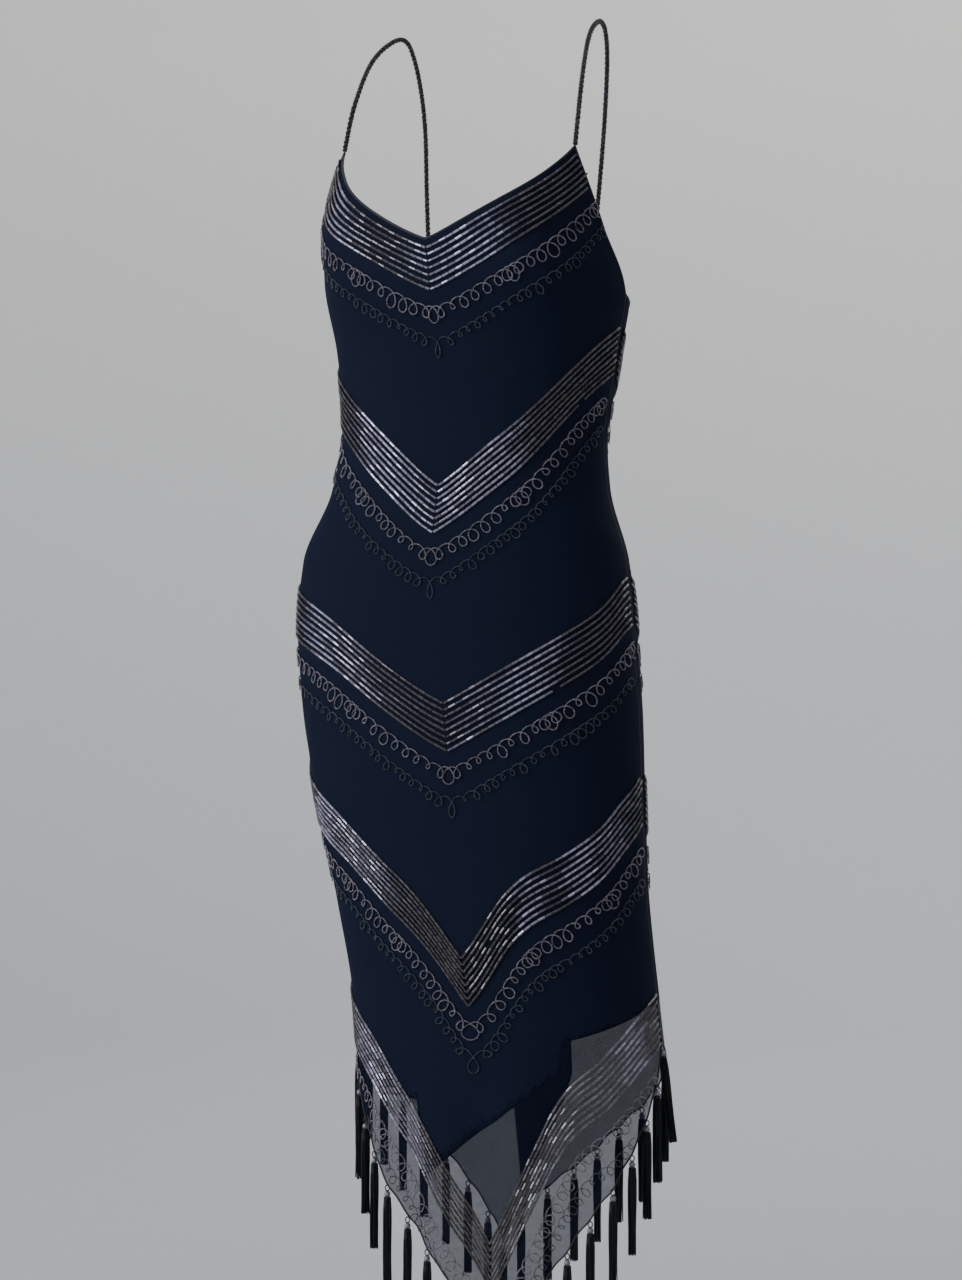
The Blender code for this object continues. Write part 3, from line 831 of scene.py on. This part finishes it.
def strew_beads(shape, places, ahead, out, lengths, radii, roll):
    """Copy a bead to many places, each turned along its thread, and give points and faces."""
    points, sides, ends = shape
    out = unit(out - ahead * (out * ahead).sum(axis=1, keepdims=True))
    aside = np.cross(out, ahead)
    across = swung(roll, aside, out)
    above = np.cross(ahead, across)
    moved = (places[:, None] + points[None, :, :1] * (ahead * lengths[:, None])[:, None]
             + points[None, :, 1:2] * (across * radii[:, None])[:, None]
             + points[None, :, 2:] * (above * radii[:, None])[:, None])
    shift = np.arange(len(places))[:, None, None] * len(points)
    faces = (sides[None] + shift).reshape(-1, sides.shape[1]).tolist()
    faces += (ends[None] + shift).reshape(-1, ends.shape[1]).tolist()
    return moved.reshape(-1, 3), faces


def bead_lustre_group():
    """Make the lustre that all beads share: each bead has its own tone, cloudy over the dress.
    On the bugles the tone also carries their painted glints.
    """
    group, given, made = new_group(
        "bead lustre",
        (("Dark", "NodeSocketColor", (0.03, 0.03, 0.03, 1.0)),
         ("Lustre", "NodeSocketColor", (0.3, 0.3, 0.3, 1.0)),
         ("Smooth", "NodeSocketFloat", 0.16), ("Dull", "NodeSocketFloat", 0.40)),
        (("Colour", "NodeSocketColor"), ("Roughness", "NodeSocketFloat")))
    tone = group.nodes.new("ShaderNodeAttribute")
    tone.attribute_name = "tone"
    place = coordinates(group, "Object")
    cloud = math_node(group, "ADD", noise_node(group, place, LUSTRE_CLOUD, 2.0), 0.50)
    share = math_node(group, "MULTIPLY", tone.outputs["Fac"], cloud)
    share = math_node(group, "MINIMUM", share, 1.0)
    colour = mix_colour(group, share, given.outputs["Dark"], given.outputs["Lustre"])
    group.links.new(colour, made.inputs["Colour"])
    scratch = noise_node(group, place, SCRATCH_SIZE, 2.0)
    span = math_node(group, "SUBTRACT", given.outputs["Dull"], given.outputs["Smooth"])
    rough = math_node(group, "MULTIPLY_ADD", scratch, span)
    group.links.new(given.outputs["Smooth"], rough.node.inputs[2])
    group.links.new(rough, made.inputs["Roughness"])
    return group


lustre_nodes = bead_lustre_group()


def bead_material(name, dark, lustre, smooth, dull, metallic):
    """Make one kind of bead glass from the shared lustre."""
    material, tree, shader = new_material(name)
    node = place_group(tree, lustre_nodes,
                       {"Dark": dark, "Lustre": lustre, "Smooth": smooth, "Dull": dull})
    tree.links.new(node.outputs["Colour"], shader.inputs["Base Color"])
    tree.links.new(node.outputs["Roughness"], shader.inputs["Roughness"])
    set_sockets(shader, {"Metallic": metallic, "IOR": GLASS_IOR})
    return material


bugle_glass = bead_material("gunmetal bugle glass", BUGLE_DARK, BUGLE_PAINTED_GLINT,
                            smooth=0.20, dull=0.36, metallic=0.60)
bugle_bevel = BUGLE_BEVEL / BUGLE_LENGTH
bugle = bead_shape(BUGLE_SIDES, ((-0.5, BUGLE_MOUTH), (-0.5 + bugle_bevel, 1.0),
                                 (0.5 - bugle_bevel, 1.0), (0.5, BUGLE_MOUTH)))


def distances_along(points):
    """Give how far along a path each of its points is."""
    return np.concatenate(([0.0], np.cumsum(np.linalg.norm(np.diff(points, axis=0), axis=1))))


def drawn(count, draw, *limits):
    """Draw a number for each of count beads."""
    return np.array([draw(*limits) for _ in range(count)])


def walk(angles, heights, distances):
    """Read angles and heights at distances along a line on the cloth."""
    far = distances_along(cloth_point(angles, heights))
    return np.interp(distances, far, angles), np.interp(distances, far, heights), far[-1]


def painted_glint(angle, stretches, draw):
    """Give the tone of one row's beads round the body: dull, with painted glints in its stretches.
    """
    total = np.full(np.shape(angle), DULL_TONE)
    for place, spread, strength in stretches:
        away = (angle - place - draw.gauss(0.0, PAINTED_GLINT_RAGGED)) / spread
        total += strength * np.exp(-away**4)
    return total


def bead_row(edge, point, seam, drop, top, hem, draw):
    """Lay one row of bugle beads from a chevron's point out to a side seam."""
    fine = np.linspace(point, seam, ROW_STEPS)
    heights = edge(fine) - drop
    short = draw.uniform(*FIRST_BEAD_SHARE) * BUGLE_LENGTH
    reach = walk(fine, heights, 0.0)[2]
    starts = np.arange(MITRE_GAP + short + BUGLE_GAP, reach - BUGLE_LENGTH,
                       BUGLE_LENGTH + BUGLE_GAP)
    starts = np.concatenate(([MITRE_GAP], starts))
    stops = starts + BUGLE_LENGTH
    stops[0] = MITRE_GAP + short
    first = walk(fine, heights, starts)[:2]
    last = walk(fine, heights, stops)[:2]
    ends = [cloth_point(*first), cloth_point(*last)]
    centre = [(first[0] + last[0]) / 2.0, (first[1] + last[1]) / 2.0]
    kept = (np.maximum(first[1], last[1]) < top(centre[0]) - EDGE_MARGIN)
    kept &= np.minimum(first[1], last[1]) > hem(centre[0]) + EDGE_MARGIN
    kept &= np.abs(turned(last[0], seam)) > SEAM_MARGIN
    kept &= drawn(len(starts), draw.random) > BEAD_MISSING
    out = cloth_normal(*centre)
    middle = (ends[0] + ends[1]) / 2.0 + out * BUGLE_RADIUS * BEAD_SINK
    return middle[kept], (ends[1] - ends[0])[kept], out[kept], centre[0][kept]


def bead_band(name, edge, point, seams, top, hem, stretches, draw):
    """Sew one whole band of bugle beads, with its rows mitred at the chevron's point."""
    parts = []
    for row in range(BEAD_ROWS):
        for seam in seams:
            places, spans, out, angles = bead_row(edge, point, seam, row * ROW_PITCH, top, hem,
                                                  draw)
            count = len(places)
            if not count:
                continue
            lengths = np.linalg.norm(spans, axis=1) * drawn(count, draw.gauss, 1.0, LENGTH_SPREAD)
            radii = drawn(count, draw.gauss, 1.0, RADIUS_SPREAD) * BUGLE_RADIUS
            roll = drawn(count, draw.uniform, 0.0, math.tau)
            jitter = drawn(count * 3, draw.gauss, 0.0, TILT_SPREAD).reshape(count, 3)
            # Each bead's tone is the row's painted glint, scaled at random from bead to bead.
            glow = drawn(count, draw.uniform, *GLOW_RANGE)
            tone = np.repeat(np.clip(painted_glint(angles, stretches, draw) * glow, 0.0, 1.0),
                             len(bugle[0]))
            parts.append((*strew_beads(bugle, places, unit(unit(spans) + jitter), out, lengths,
                                       radii, roll), 0, tone))
    mesh = joined_mesh(name, parts)
    mesh.shade_flat()
    add_piece(name, mesh, [bugle_glass])


def neck_band_edge(angle):
    """Height of the neck band's upper edge, which goes straight on below the armholes."""
    return NECK_POINT - NECK_BAND_DROP + (STRAP_FOOT - NECK_POINT) * (
        np.abs(angle) / STRAP_ANGLE)**NECK_BOW


draw = random.Random(RANDOM_START)
bead_lines = [("neck", neck_band_edge, 0.0, FRONT_SEAMS, front_top, front_hem, PAINTED_GLINTS[0])]
for number, stretches in enumerate(PAINTED_GLINTS[1:]):
    bead_lines.append((f"front_{number + 1}", *front_chevron(number), FRONT_SEAMS, front_top,
                       front_hem, stretches))
    if number < len(BACK_CHEVRON_POINTS):
        # The back bands repeat the front's painted glints, mirrored.
        mirrored = [(180.0 - place, spread, strength) for place, spread, strength in stretches]
        bead_lines.append((f"back_{number + 1}", *back_chevron(number), BACK_SEAMS, back_top,
                           back_hem, mirrored))
for label, *line in bead_lines:
    bead_band(f"bead_band_{label}", *line, draw)


# Beaded scrolls
# Below each band run two scrolling lines of seed beads, sewn as one thread of small hanging
# loops. The upper line is bolder, and every few loops three of them cross in a rosette.
SEED_PITCH = 0.00150
SEED_LENGTH = 0.00150
SEED_RADIUS = 0.00092
SEED_SIDES = 4
SEED_RINGS = ((-0.46, 0.42), (0.0, 1.0), (0.46, 0.42))
SEED_SINK = 0.8
SEED_SIZE_SPREAD = 0.05
SEED_TONES = (2.5, 2.0)
# Each line: kind, bead scale, how many degrees it reaches to each side below the lowest band,
# drop below the chevron, pitch, loop width and hang, and whether it has rosettes.
SCROLLS = (
    ("upper", 1.00, 76.0, 0.0600, 0.0122, 0.0062, 0.0058, True),
    ("lower", 0.86, 56.0, 0.0885, 0.0104, 0.0046, 0.0042, False),
)
NECK_REACH = 84.0
SEAM_REACH = 89.0
LOOP_SPACE = 1.1
LOOP_SIZES = (0.72, 0.85, 0.95, 1.0, 1.05, 1.15, 1.3)
LOOP_HANGS = (0.9, 1.2)
LOOP_STEPS = (0.82, 1.16)
ROSETTE_EVERY = (5, 8)
ROSETTE_PITCH = 0.0056
ROSETTE_WIDTH = 1.1
ROSETTE_HANGS = (1.0, 1.35, 0.95)
POINT_ROSETTE = [(-ROSETTE_PITCH, 0.75, 1.0), (0.0, 0.85, 1.4), (ROSETTE_PITCH, 0.75, 1.0)]
POINT_DROP = [(0.0, 0.9, 2.3)]
LINE_STEPS = 1500
TURN_STEP = 0.05
SLOPE_REACH = 0.001
WHOLLY_INSIDE = 0.99
SCROLL_END = np.pi * 0.4
SCROLL_LIFT = 0.0009
SCROLL_ROUNDING = 2.5
SEED_DARK = (0.082, 0.073, 0.086, 1.0)
SEED_LUSTRE = (0.350, 0.315, 0.370, 1.0)
SEED_DIM = (0.030, 0.034, 0.042, 1.0)
SEED_DIM_LUSTRE = (0.120, 0.130, 0.155, 1.0)

seed_glass = {
    "upper": bead_material("lilac grey seed beads", SEED_DARK, SEED_LUSTRE,
                           smooth=0.25, dull=0.45, metallic=0.6),
    "lower": bead_material("dim grey seed beads", SEED_DIM, SEED_DIM_LUSTRE,
                           smooth=0.28, dull=0.50, metallic=0.6),
}
seed = bead_shape(SEED_SIDES, SEED_RINGS)


def loop_plan(length_left, length_right, pitch, rosettes, draw):
    """Plan the loops along a line, in order: place along it, width and hang as shares."""
    loops = POINT_ROSETTE if rosettes else POINT_DROP
    for side, length in ((-1.0, length_left), (1.0, length_right)):
        place = loops[-1][0] if side > 0.0 else -loops[0][0]
        place = abs(place) + pitch * LOOP_SPACE
        until = draw.randint(*ROSETTE_EVERY)
        found = []
        while place < length - pitch:
            if rosettes and until == 0:
                for step, hang in enumerate(ROSETTE_HANGS):
                    found.append((side * (place + step * ROSETTE_PITCH), ROSETTE_WIDTH, hang))
                place += 2.0 * ROSETTE_PITCH + pitch * LOOP_SPACE
                until = draw.randint(*ROSETTE_EVERY)
            else:
                size = draw.choice(LOOP_SIZES)
                found.append((side * place, size, size * draw.uniform(*LOOP_HANGS)))
                place += pitch * draw.uniform(*LOOP_STEPS)
                until -= 1
        loops = found[::-1] + loops if side < 0.0 else loops + found
    return np.array(loops)


def on_cloth(moves, around, upward):
    """Give the degrees round the body and metres up that make small moves on the cloth."""
    wide, slant, tall = ((first * second).sum(1) for first, second in (
        (around, around), (around, upward), (upward, upward)))
    side, rise = (around * moves).sum(1), (upward * moves).sum(1)
    whole = wide * tall - slant * slant
    return (side * tall - rise * slant) / whole, (rise * wide - side * slant) / whole


def looped_line(edge, point, seams, drop, pitch, width, hang, rosettes, draw):
    """Run a line of hanging loops below a chevron, and give its turns, angles and heights."""
    fine = np.linspace(*seams, LINE_STEPS)
    away = np.sqrt((fine - point)**2 + SCROLL_ROUNDING**2) - SCROLL_ROUNDING
    soft = point + np.where(fine < point, -away, away)
    base = edge(soft) - drop
    far = distances_along(cloth_point(fine, base))
    far -= np.interp(point, fine, far)
    loops = loop_plan(-far[0], far[-1], pitch, rosettes, draw)
    centre_turns = 2.0 * np.pi * (np.arange(len(loops)) + 0.5)
    turns = np.arange(SCROLL_END, 2.0 * np.pi * len(loops) - SCROLL_END, TURN_STEP)
    size = np.interp(turns, centre_turns, loops[:, 1]) * width
    along = np.interp(turns, centre_turns, loops[:, 0]) + size * np.sin(turns)
    sag = np.interp(turns, centre_turns, loops[:, 2]) * hang * (1.0 - np.cos(turns))
    angle, height = np.interp(along, far, fine), np.interp(along, far, base)
    around, upward = cloth_slopes(angle, height)
    beside = [cloth_point(np.interp(along + step, far, fine), np.interp(along + step, far, base))
              for step in (SLOPE_REACH, -SLOPE_REACH)]
    below = unit(np.cross(unit(beside[0] - beside[1]), unit(np.cross(around, upward))))
    turned_by, raised_by = on_cloth(below * sag[:, None], around, upward)
    return turns, angle + turned_by, height + raised_by


def scroll(name, line, seams, top, hem, reach, glass, scale, draw):
    """Sew seed beads along a looped line, inside the cloth's edges and out to its reach."""
    turns, angle, height = line
    inside = (height < top(angle) - EDGE_MARGIN) & (height > hem(angle) + EDGE_MARGIN)
    inside &= np.abs(angle - (seams[0] + seams[1]) / 2.0) < reach
    far = distances_along(cloth_point(angle, height))
    count = int(far[-1] / SEED_PITCH)
    spots = np.linspace(0.0, far[-1], count)
    kept = np.interp(spots, far, inside.astype(float)) > WHOLLY_INSIDE
    turn_at = np.interp(spots, far, turns)
    place = [np.interp(spots, far, angle), np.interp(spots, far, height)]
    out = cloth_normal(*place)
    lift = SEED_RADIUS * SEED_SINK + SCROLL_LIFT * (0.5 + 0.5 * np.sin(turn_at))
    centre = cloth_point(*place) + out * lift[:, None]
    ahead = unit(np.gradient(centre, axis=0))
    tone = drawn(count, draw.betavariate, *SEED_TONES)
    roll = drawn(count, draw.uniform, 0.0, 1.0)
    size = drawn(count, draw.gauss, 1.0, SEED_SIZE_SPREAD) * scale
    parts = strew_beads(seed, centre[kept], ahead[kept], out[kept], SEED_LENGTH * size[kept],
                        SEED_RADIUS * size[kept], roll[kept])
    mesh = joined_mesh(name, [(*parts, 0, np.repeat(tone[kept], len(seed[0])))])
    add_piece(name, mesh, [glass])


for kind, scale, hem_reach, *loop_shape in SCROLLS:
    reaches = {"neck": NECK_REACH, "front_4": hem_reach}
    for label, edge, point, seams, top, hem, _ in bead_lines:
        line = looped_line(edge, point, seams, *loop_shape, draw)
        scroll(f"scroll_{kind}_{label}", line, seams, top, hem, reaches.get(label, SEAM_REACH),
               seed_glass[kind], scale, draw)


# Shoulder straps
# Each strap is a rope of black seed beads, three strings twisted round a cord. It is sewn to the
# corner of the neckline in front and to the top edge behind, and lies over the shoulder.
STRAP_ROUTES = {
    # Its side, and the points that it passes between its two sewn ends.
    "strap_left": (1.0, (
        (0.103, -0.052, -0.062), (0.103, -0.028, -0.018), (0.104, 0.004, 0.000),
        (0.100, 0.036, -0.016), (0.091, 0.060, -0.070), (0.080, 0.074, -0.150))),
    "strap_right": (-1.0, (
        (-0.128, -0.058, -0.075), (-0.118, -0.034, -0.027), (-0.104, 0.004, 0.000),
        (-0.102, 0.036, -0.016), (-0.102, 0.062, -0.070), (-0.104, 0.074, -0.150))),
}
STRAP_BACK_ANGLE = 148.0
STRAP_STEP = 0.0012
ROUTE_STEPS = 24
STRAP_CORE = 0.0010
CORE_SIDES = 6
STRAP_STRINGS = 3
STRAP_BEAD_LENGTH = 0.0023
STRAP_BEAD_RADIUS = 0.00138
STRAP_TWIST = 0.0150
STRAP_SWING = 0.00155
JET_SIDES = 6
JET_RINGS = ((-0.46, 0.45), (-0.25, 0.90), (0.0, 1.0), (0.25, 0.90), (0.46, 0.45))
JET_SIZE_SPREAD = 0.05
JET_TONES = (1.6, 2.4)
JET_SLOT, CORD_SLOT = 0, 1
JET_DARK = (0.010, 0.010, 0.012, 1.0)
JET_LUSTRE = (0.060, 0.060, 0.070, 1.0)

jet = bead_material("black jet beads", JET_DARK, JET_LUSTRE,
                    smooth=0.08, dull=0.22, metallic=0.15)
jet_bead = bead_shape(JET_SIDES, JET_RINGS)


def read_path(spots, far, points):
    """Read points at distances along a path whose own points are that far along it."""
    return np.stack([np.interp(spots, far, points[:, axis]) for axis in range(3)], axis=-1)


def smooth_path(points, spacing):
    """Read evenly spaced points from a smooth curve through the points of a route."""
    points = np.array(points, float)
    before_first, after_last = 2.0 * points[0] - points[1], 2.0 * points[-1] - points[-2]
    padded = np.concatenate(([before_first], points, [after_last]))
    part = np.linspace(0.0, 1.0, ROUTE_STEPS, endpoint=False)[:, None]
    runs = []
    for before, start, end, after in zip(padded, padded[1:], padded[2:], padded[3:]):
        runs.append(cubic(part, start, end, (end - before) / 2.0, (after - start) / 2.0))
    fine = np.concatenate(runs + [points[-1:]])
    far = distances_along(fine)
    return read_path(np.linspace(0.0, far[-1], int(far[-1] / spacing) + 1), far, fine)


for node, (side, middle) in STRAP_ROUTES.items():
    back_angle = 180.0 - side * (180.0 - STRAP_BACK_ANGLE)
    front_foot = cloth_point(side * STRAP_ANGLE, STRAP_FOOT)
    back_foot = cloth_point(back_angle, back_top(back_angle))
    core = smooth_path([front_foot, *middle, back_foot], STRAP_STEP)
    ahead = unit(np.gradient(core, axis=0))
    aside = unit(np.cross(ahead, (1.0, 0.0, 0.0)))
    above = np.cross(ahead, aside)
    parts = [(*tube_parts(core, STRAP_CORE, CORE_SIDES, aside), CORD_SLOT, PLAIN_TONE)]
    far = distances_along(core)
    for string in range(STRAP_STRINGS):
        turn = 2.0 * np.pi * (far / STRAP_TWIST + string / STRAP_STRINGS)
        swing = swung(turn, aside, above)
        thread = core + swing * STRAP_SWING
        length = distances_along(thread)
        spots = np.arange(STRAP_BEAD_LENGTH / 2.0, length[-1], STRAP_BEAD_LENGTH)
        places, lean = read_path(spots, length, thread), read_path(spots, length, swing)
        count = len(places)
        radii = drawn(count, draw.gauss, 1.0, JET_SIZE_SPREAD) * STRAP_BEAD_RADIUS
        tone = np.repeat(drawn(count, draw.betavariate, *JET_TONES), len(jet_bead[0]))
        parts.append((*strew_beads(jet_bead, places, unit(np.gradient(places, axis=0)), lean,
                                   np.full(count, STRAP_BEAD_LENGTH), radii, np.zeros(count)),
                      JET_SLOT, tone))
    add_piece(f"{node}_rope", joined_mesh(f"{node}_rope", parts), [jet, silk], [node])


# Tassels
# A tassel hangs about every 36 mm along both hems and one under each side seam. A short beaded
# loop holds a round glass bead, and below it a collar of seed beads gathers the cut silk floss.
TASSEL_LOOP = 0.0055
TASSEL_LOOP_HALF_WIDTH = 0.0021
TASSEL_LOOP_BEADS = 10
TASSEL_SEED_RADIUS = 0.0008
TASSEL_BEAD_RADIUS = 0.0031
TASSEL_COLLAR_RADIUS = 0.0026
TASSEL_COLLAR_BEADS = 10
TASSEL_COLLAR_LEVELS = (0.0, 0.0013)
TASSEL_LOOP_SEED_LENGTH = 0.0018
TASSEL_COLLAR_SEED_LENGTH = 0.0016
# The two drops are in bead radii below the loop's end, the stagger in radians for a metre down.
COLLAR_DROP = 2.05
FLOSS_DROP = 1.9
COLLAR_STAGGER = 300.0
FLOSS_SLOT, GREY_SLOT = 1, 2
LOOP_TONE = 0.2
ROUND_BEAD_TONE = 0.55
ROUND_BEAD_SIDES = 12
ROUND_BEAD_TILTS = (-78.0, -52.0, -26.0, 0.0, 26.0, 52.0, 78.0)
COLLAR_TONE = 0.6
TASSEL_STRANDS = 36
TASSEL_SPREAD = 0.0037
TASSEL_WAIST = 0.86
STRAND_TURN = 137.5
STRAND_SWAY = 0.0005
STRAND_UNEVEN = 0.0009
STRAND_WAVE = 0.0003
STRAND_BENDS = 7.0
STRAND_SHIFT = 3.0
STRAND_FLARE = 7.0
STRAND_SIDES = 3
STRAND_SIZES = (0.85, 1.15)
STRAND_TIP = 0.7
STRAND_RADIUS = 0.00062
STRAND_STEPS = 8
FLOSS_FIBRE = 0.0005
FLOSS_STRETCH = (1.0, 1.0, 0.03)
FLOSS_BUMP = (0.0002, 0.5)
FLOSS_BLACK = (0.0030, 0.0032, 0.0045, 1.0)
FLOSS_SHEEN = (0.0120, 0.0125, 0.0160, 1.0)

floss, tree, shader = new_material("black silk floss")
drawn_out = stretched(tree, coordinates(tree, "Object"), FLOSS_STRETCH)
fibres = noise_node(tree, drawn_out, FLOSS_FIBRE, 3.0, 0.6)
finish_surface(tree, shader, fibres, (FLOSS_BLACK, FLOSS_SHEEN), fibres, FLOSS_BUMP,
               {"Roughness": 0.42, "Specular IOR Level": 0.35, "Anisotropic": 0.5})
tilts = [math.radians(tilt) for tilt in ROUND_BEAD_TILTS]
round_bead = bead_shape(ROUND_BEAD_SIDES,
                        [(0.5 * math.sin(tilt), math.cos(tilt)) for tilt in tilts])


def alike(shape, places, ahead, out, length, radius):
    """Copy a bead to many places in one size, with no roll, and give points and faces."""
    count = len(places)
    return strew_beads(shape, places, ahead, np.broadcast_to(out, (count, 3)),
                       np.full(count, length), np.full(count, radius), np.zeros(count))


def cut_floss(top, down, aside, above, length, draw):
    """Hang the silk strands of one tassel from its bead to its cut end, and give their parts."""
    parts = []
    hang = TASSEL_LOOP + TASSEL_BEAD_RADIUS * FLOSS_DROP
    steps = np.linspace(0.0, 1.0, STRAND_STEPS)
    for strand in range(TASSEL_STRANDS):
        turn = strand * math.radians(STRAND_TURN)
        reach = math.sqrt((strand + 0.5) / TASSEL_STRANDS)
        spoke = math.cos(turn) * aside + math.sin(turn) * above
        sway = draw.gauss(0.0, STRAND_SWAY) * aside + draw.gauss(0.0, STRAND_SWAY) * above
        ending = length - abs(draw.gauss(0.0, STRAND_UNEVEN))
        spread = TASSEL_SPREAD * reach * (TASSEL_WAIST + (1.0 - TASSEL_WAIST)
                                          * smooth_step(steps * STRAND_FLARE))
        wave = STRAND_WAVE * np.sin(steps * STRAND_BENDS + turn * STRAND_SHIFT)
        path = (top + down * (hang + (ending - hang) * steps)[:, None]
                + spoke * spread[:, None] + sway * (steps**2)[:, None] + aside * wave[:, None])
        radius = np.full(STRAND_STEPS, STRAND_RADIUS * draw.uniform(*STRAND_SIZES))
        radius[-1] *= STRAND_TIP
        facing = np.broadcast_to(spoke, path.shape)
        parts.append((*tube_parts(path, radius, STRAND_SIDES, facing), FLOSS_SLOT, PLAIN_TONE))
    return parts


def tassel(node, draw):
    """Build one tassel where its solid hangs: loop, bead, collar and floss."""
    top, end = tassel_line(node)
    down = unit(end - top)
    length = np.linalg.norm(end - top)
    aside = unit(np.cross(down, (0.0, 1.0, 0.0)))
    above = np.cross(down, aside)
    sweep = np.linspace(0.0, 2.0 * np.pi, TASSEL_LOOP_BEADS + 1)
    ring = (top + down * TASSEL_LOOP * 0.5 - np.cos(sweep)[:, None] * down * TASSEL_LOOP * 0.5
            + np.sin(sweep)[:, None] * aside * TASSEL_LOOP_HALF_WIDTH)
    bead = (top + down * (TASSEL_LOOP + TASSEL_BEAD_RADIUS))[None]
    parts = [(*alike(seed, ring[:-1], unit(np.diff(ring, axis=0)), above,
                     TASSEL_LOOP_SEED_LENGTH, TASSEL_SEED_RADIUS), JET_SLOT, LOOP_TONE),
             (*alike(round_bead, bead, down[None], aside, TASSEL_BEAD_RADIUS * 2.0,
                     TASSEL_BEAD_RADIUS), GREY_SLOT, ROUND_BEAD_TONE)]
    collar = top + down * (TASSEL_LOOP + TASSEL_BEAD_RADIUS * COLLAR_DROP)
    for level in TASSEL_COLLAR_LEVELS:
        turn = turns_round(TASSEL_COLLAR_BEADS) + level * COLLAR_STAGGER
        spoke, ahead = swung(turn, aside, above), swung(turn, above, -aside)
        parts.append((*alike(seed, collar + down * level + spoke * TASSEL_COLLAR_RADIUS, ahead,
                             spoke, TASSEL_COLLAR_SEED_LENGTH, TASSEL_SEED_RADIUS),
                      JET_SLOT, COLLAR_TONE))
    parts += cut_floss(top, down, aside, above, length, draw)
    name = f"{node}_silk"
    add_piece(name, joined_mesh(name, parts), [jet, floss, seed_glass["upper"]], [node])


for node in sorted(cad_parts):
    if node.startswith("tassel"):
        tassel(node, draw)


# Floor, backdrop and light
# A pale seamless backdrop curves up from the floor all round, open at the top. A large soft light
# stands in front on the wearer's right, a weak fill on the other side, and a wash lights the
# wall behind.
FLOOR_HEIGHT = -1.46
FLOOR_RINGS = (0.0001, 1.2, 2.2)
BACKDROP_RADIUS = 5.2
COVE_RADIUS = 2.2
COVE_STEPS = 16
WALL_TOP = 2.8
BACKDROP_SIDES = 96
# The backdrop is painted with shade: its colour runs from the top colour down to a darker, bluer
# painted shade at the floor, between the two heights below.
BACKDROP_TOP_COLOUR = (0.77, 0.762, 0.738, 1.0)
BACKDROP_PAINTED_SHADE = (0.50, 0.512, 0.545, 1.0)
PAINTED_SHADE_HEIGHTS = (-1.5, 1.2)
PAINT_MOTTLE = 0.10
MOTTLE_SIZE = 0.035
ROLLER_SIZE = 0.004
ROLLER_BUMP = (0.0004, 0.3)
WORLD_COLOUR = (0.90, 0.93, 1.0, 1.0)
WORLD_STRENGTH = 0.48

profile = [(radius, FLOOR_HEIGHT) for radius in FLOOR_RINGS]
for step in range(COVE_STEPS + 1):
    turn = math.radians(90.0 * step / COVE_STEPS)
    profile.append((BACKDROP_RADIUS - COVE_RADIUS + COVE_RADIUS * math.sin(turn),
                    FLOOR_HEIGHT + COVE_RADIUS * (1.0 - math.cos(turn))))
profile.append((BACKDROP_RADIUS, WALL_TOP))
rings = np.array([[(radius * math.cos(turn), radius * math.sin(turn), height)
                   for turn in turns_round(BACKDROP_SIDES)] for radius, height in profile])
faces = ring_faces(len(profile), BACKDROP_SIDES)
backdrop_mesh = bpy.data.meshes.new("backdrop")
backdrop_mesh.from_pydata(rings.reshape(-1, 3).tolist(), [], faces.tolist())
backdrop_mesh.shade_smooth()
paint, tree, shader = new_material("pale grey paint")
place = coordinates(tree, "Object")
axes = tree.nodes.new("ShaderNodeSeparateXYZ")
tree.links.new(place, axes.inputs[0])
# Painted shade: the colour darkens with height from the top colour to the floor, with a mottle.
climb = tree.nodes.new("ShaderNodeMapRange")
set_sockets(climb, {"From Min": PAINTED_SHADE_HEIGHTS[0], "From Max": PAINTED_SHADE_HEIGHTS[1]})
tree.links.new(axes.outputs["Z"], climb.inputs["Value"])
mottle = noise_node(tree, place, MOTTLE_SIZE, 4.0, 0.6)
mottle = math_node(tree, "MULTIPLY", math_node(tree, "SUBTRACT", mottle, 0.5), PAINT_MOTTLE)
shade = math_node(tree, "ADD", climb.outputs["Result"], mottle)
finish_surface(tree, shader, shade, (BACKDROP_PAINTED_SHADE, BACKDROP_TOP_COLOUR),
               noise_node(tree, place, ROLLER_SIZE, 3.0), ROLLER_BUMP,
               {"Roughness": 0.9, "Specular IOR Level": 0.1})
backdrop_mesh.materials.append(paint)
backdrop = bpy.data.objects.new("backdrop", backdrop_mesh)
bpy.context.scene.collection.objects.link(backdrop)

# Each light: name, place, aim, width, height, power in watts and colour.
LIGHTS = (
    ("window", (-2.4, -2.3, 0.3), (0.0, 0.0, -0.65), 1.6, 2.4, 105.0, (0.90, 0.94, 1.0)),
    ("fill", (3.0, -2.2, -0.1), (0.0, 0.0, -0.7), 1.2, 2.2, 8.0, (0.95, 0.95, 1.0)),
    ("wash", (1.0, 1.6, 2.5), (-0.9, 5.1, 0.3), 3.4, 0.8, 108.0, (1.0, 0.98, 0.94)),
    ("rim", (0.6, 3.2, 1.4), (0.0, 0.0, -0.6), 2.4, 1.2, 18.0, (0.95, 0.97, 1.0)),
)


def aim_turn(place, aim):
    """Give the rotation that turns a light's face from its place towards its aim."""
    across, ahead, up = (end - start for start, end in zip(place, aim))
    tilt = math.atan2(math.hypot(across, ahead), -up)
    return (tilt, 0.0, math.atan2(ahead, across) - math.pi / 2.0)


for name, place, aim, width, height, power, colour in LIGHTS:
    light = bpy.data.lights.new(name, "AREA")
    light.shape = "RECTANGLE"
    light.size = width
    light.size_y = height
    light.energy = power
    light.color = colour
    lamp = bpy.data.objects.new(name, light)
    lamp.location = place
    lamp.rotation_euler = aim_turn(place, aim)
    lamp.visible_camera = False
    bpy.context.scene.collection.objects.link(lamp)

world = bpy.data.worlds.new("studio air")
world.use_nodes = True
world.node_tree.nodes["Background"].inputs["Color"].default_value = WORLD_COLOUR
world.node_tree.nodes["Background"].inputs["Strength"].default_value = WORLD_STRENGTH
bpy.context.scene.world = world
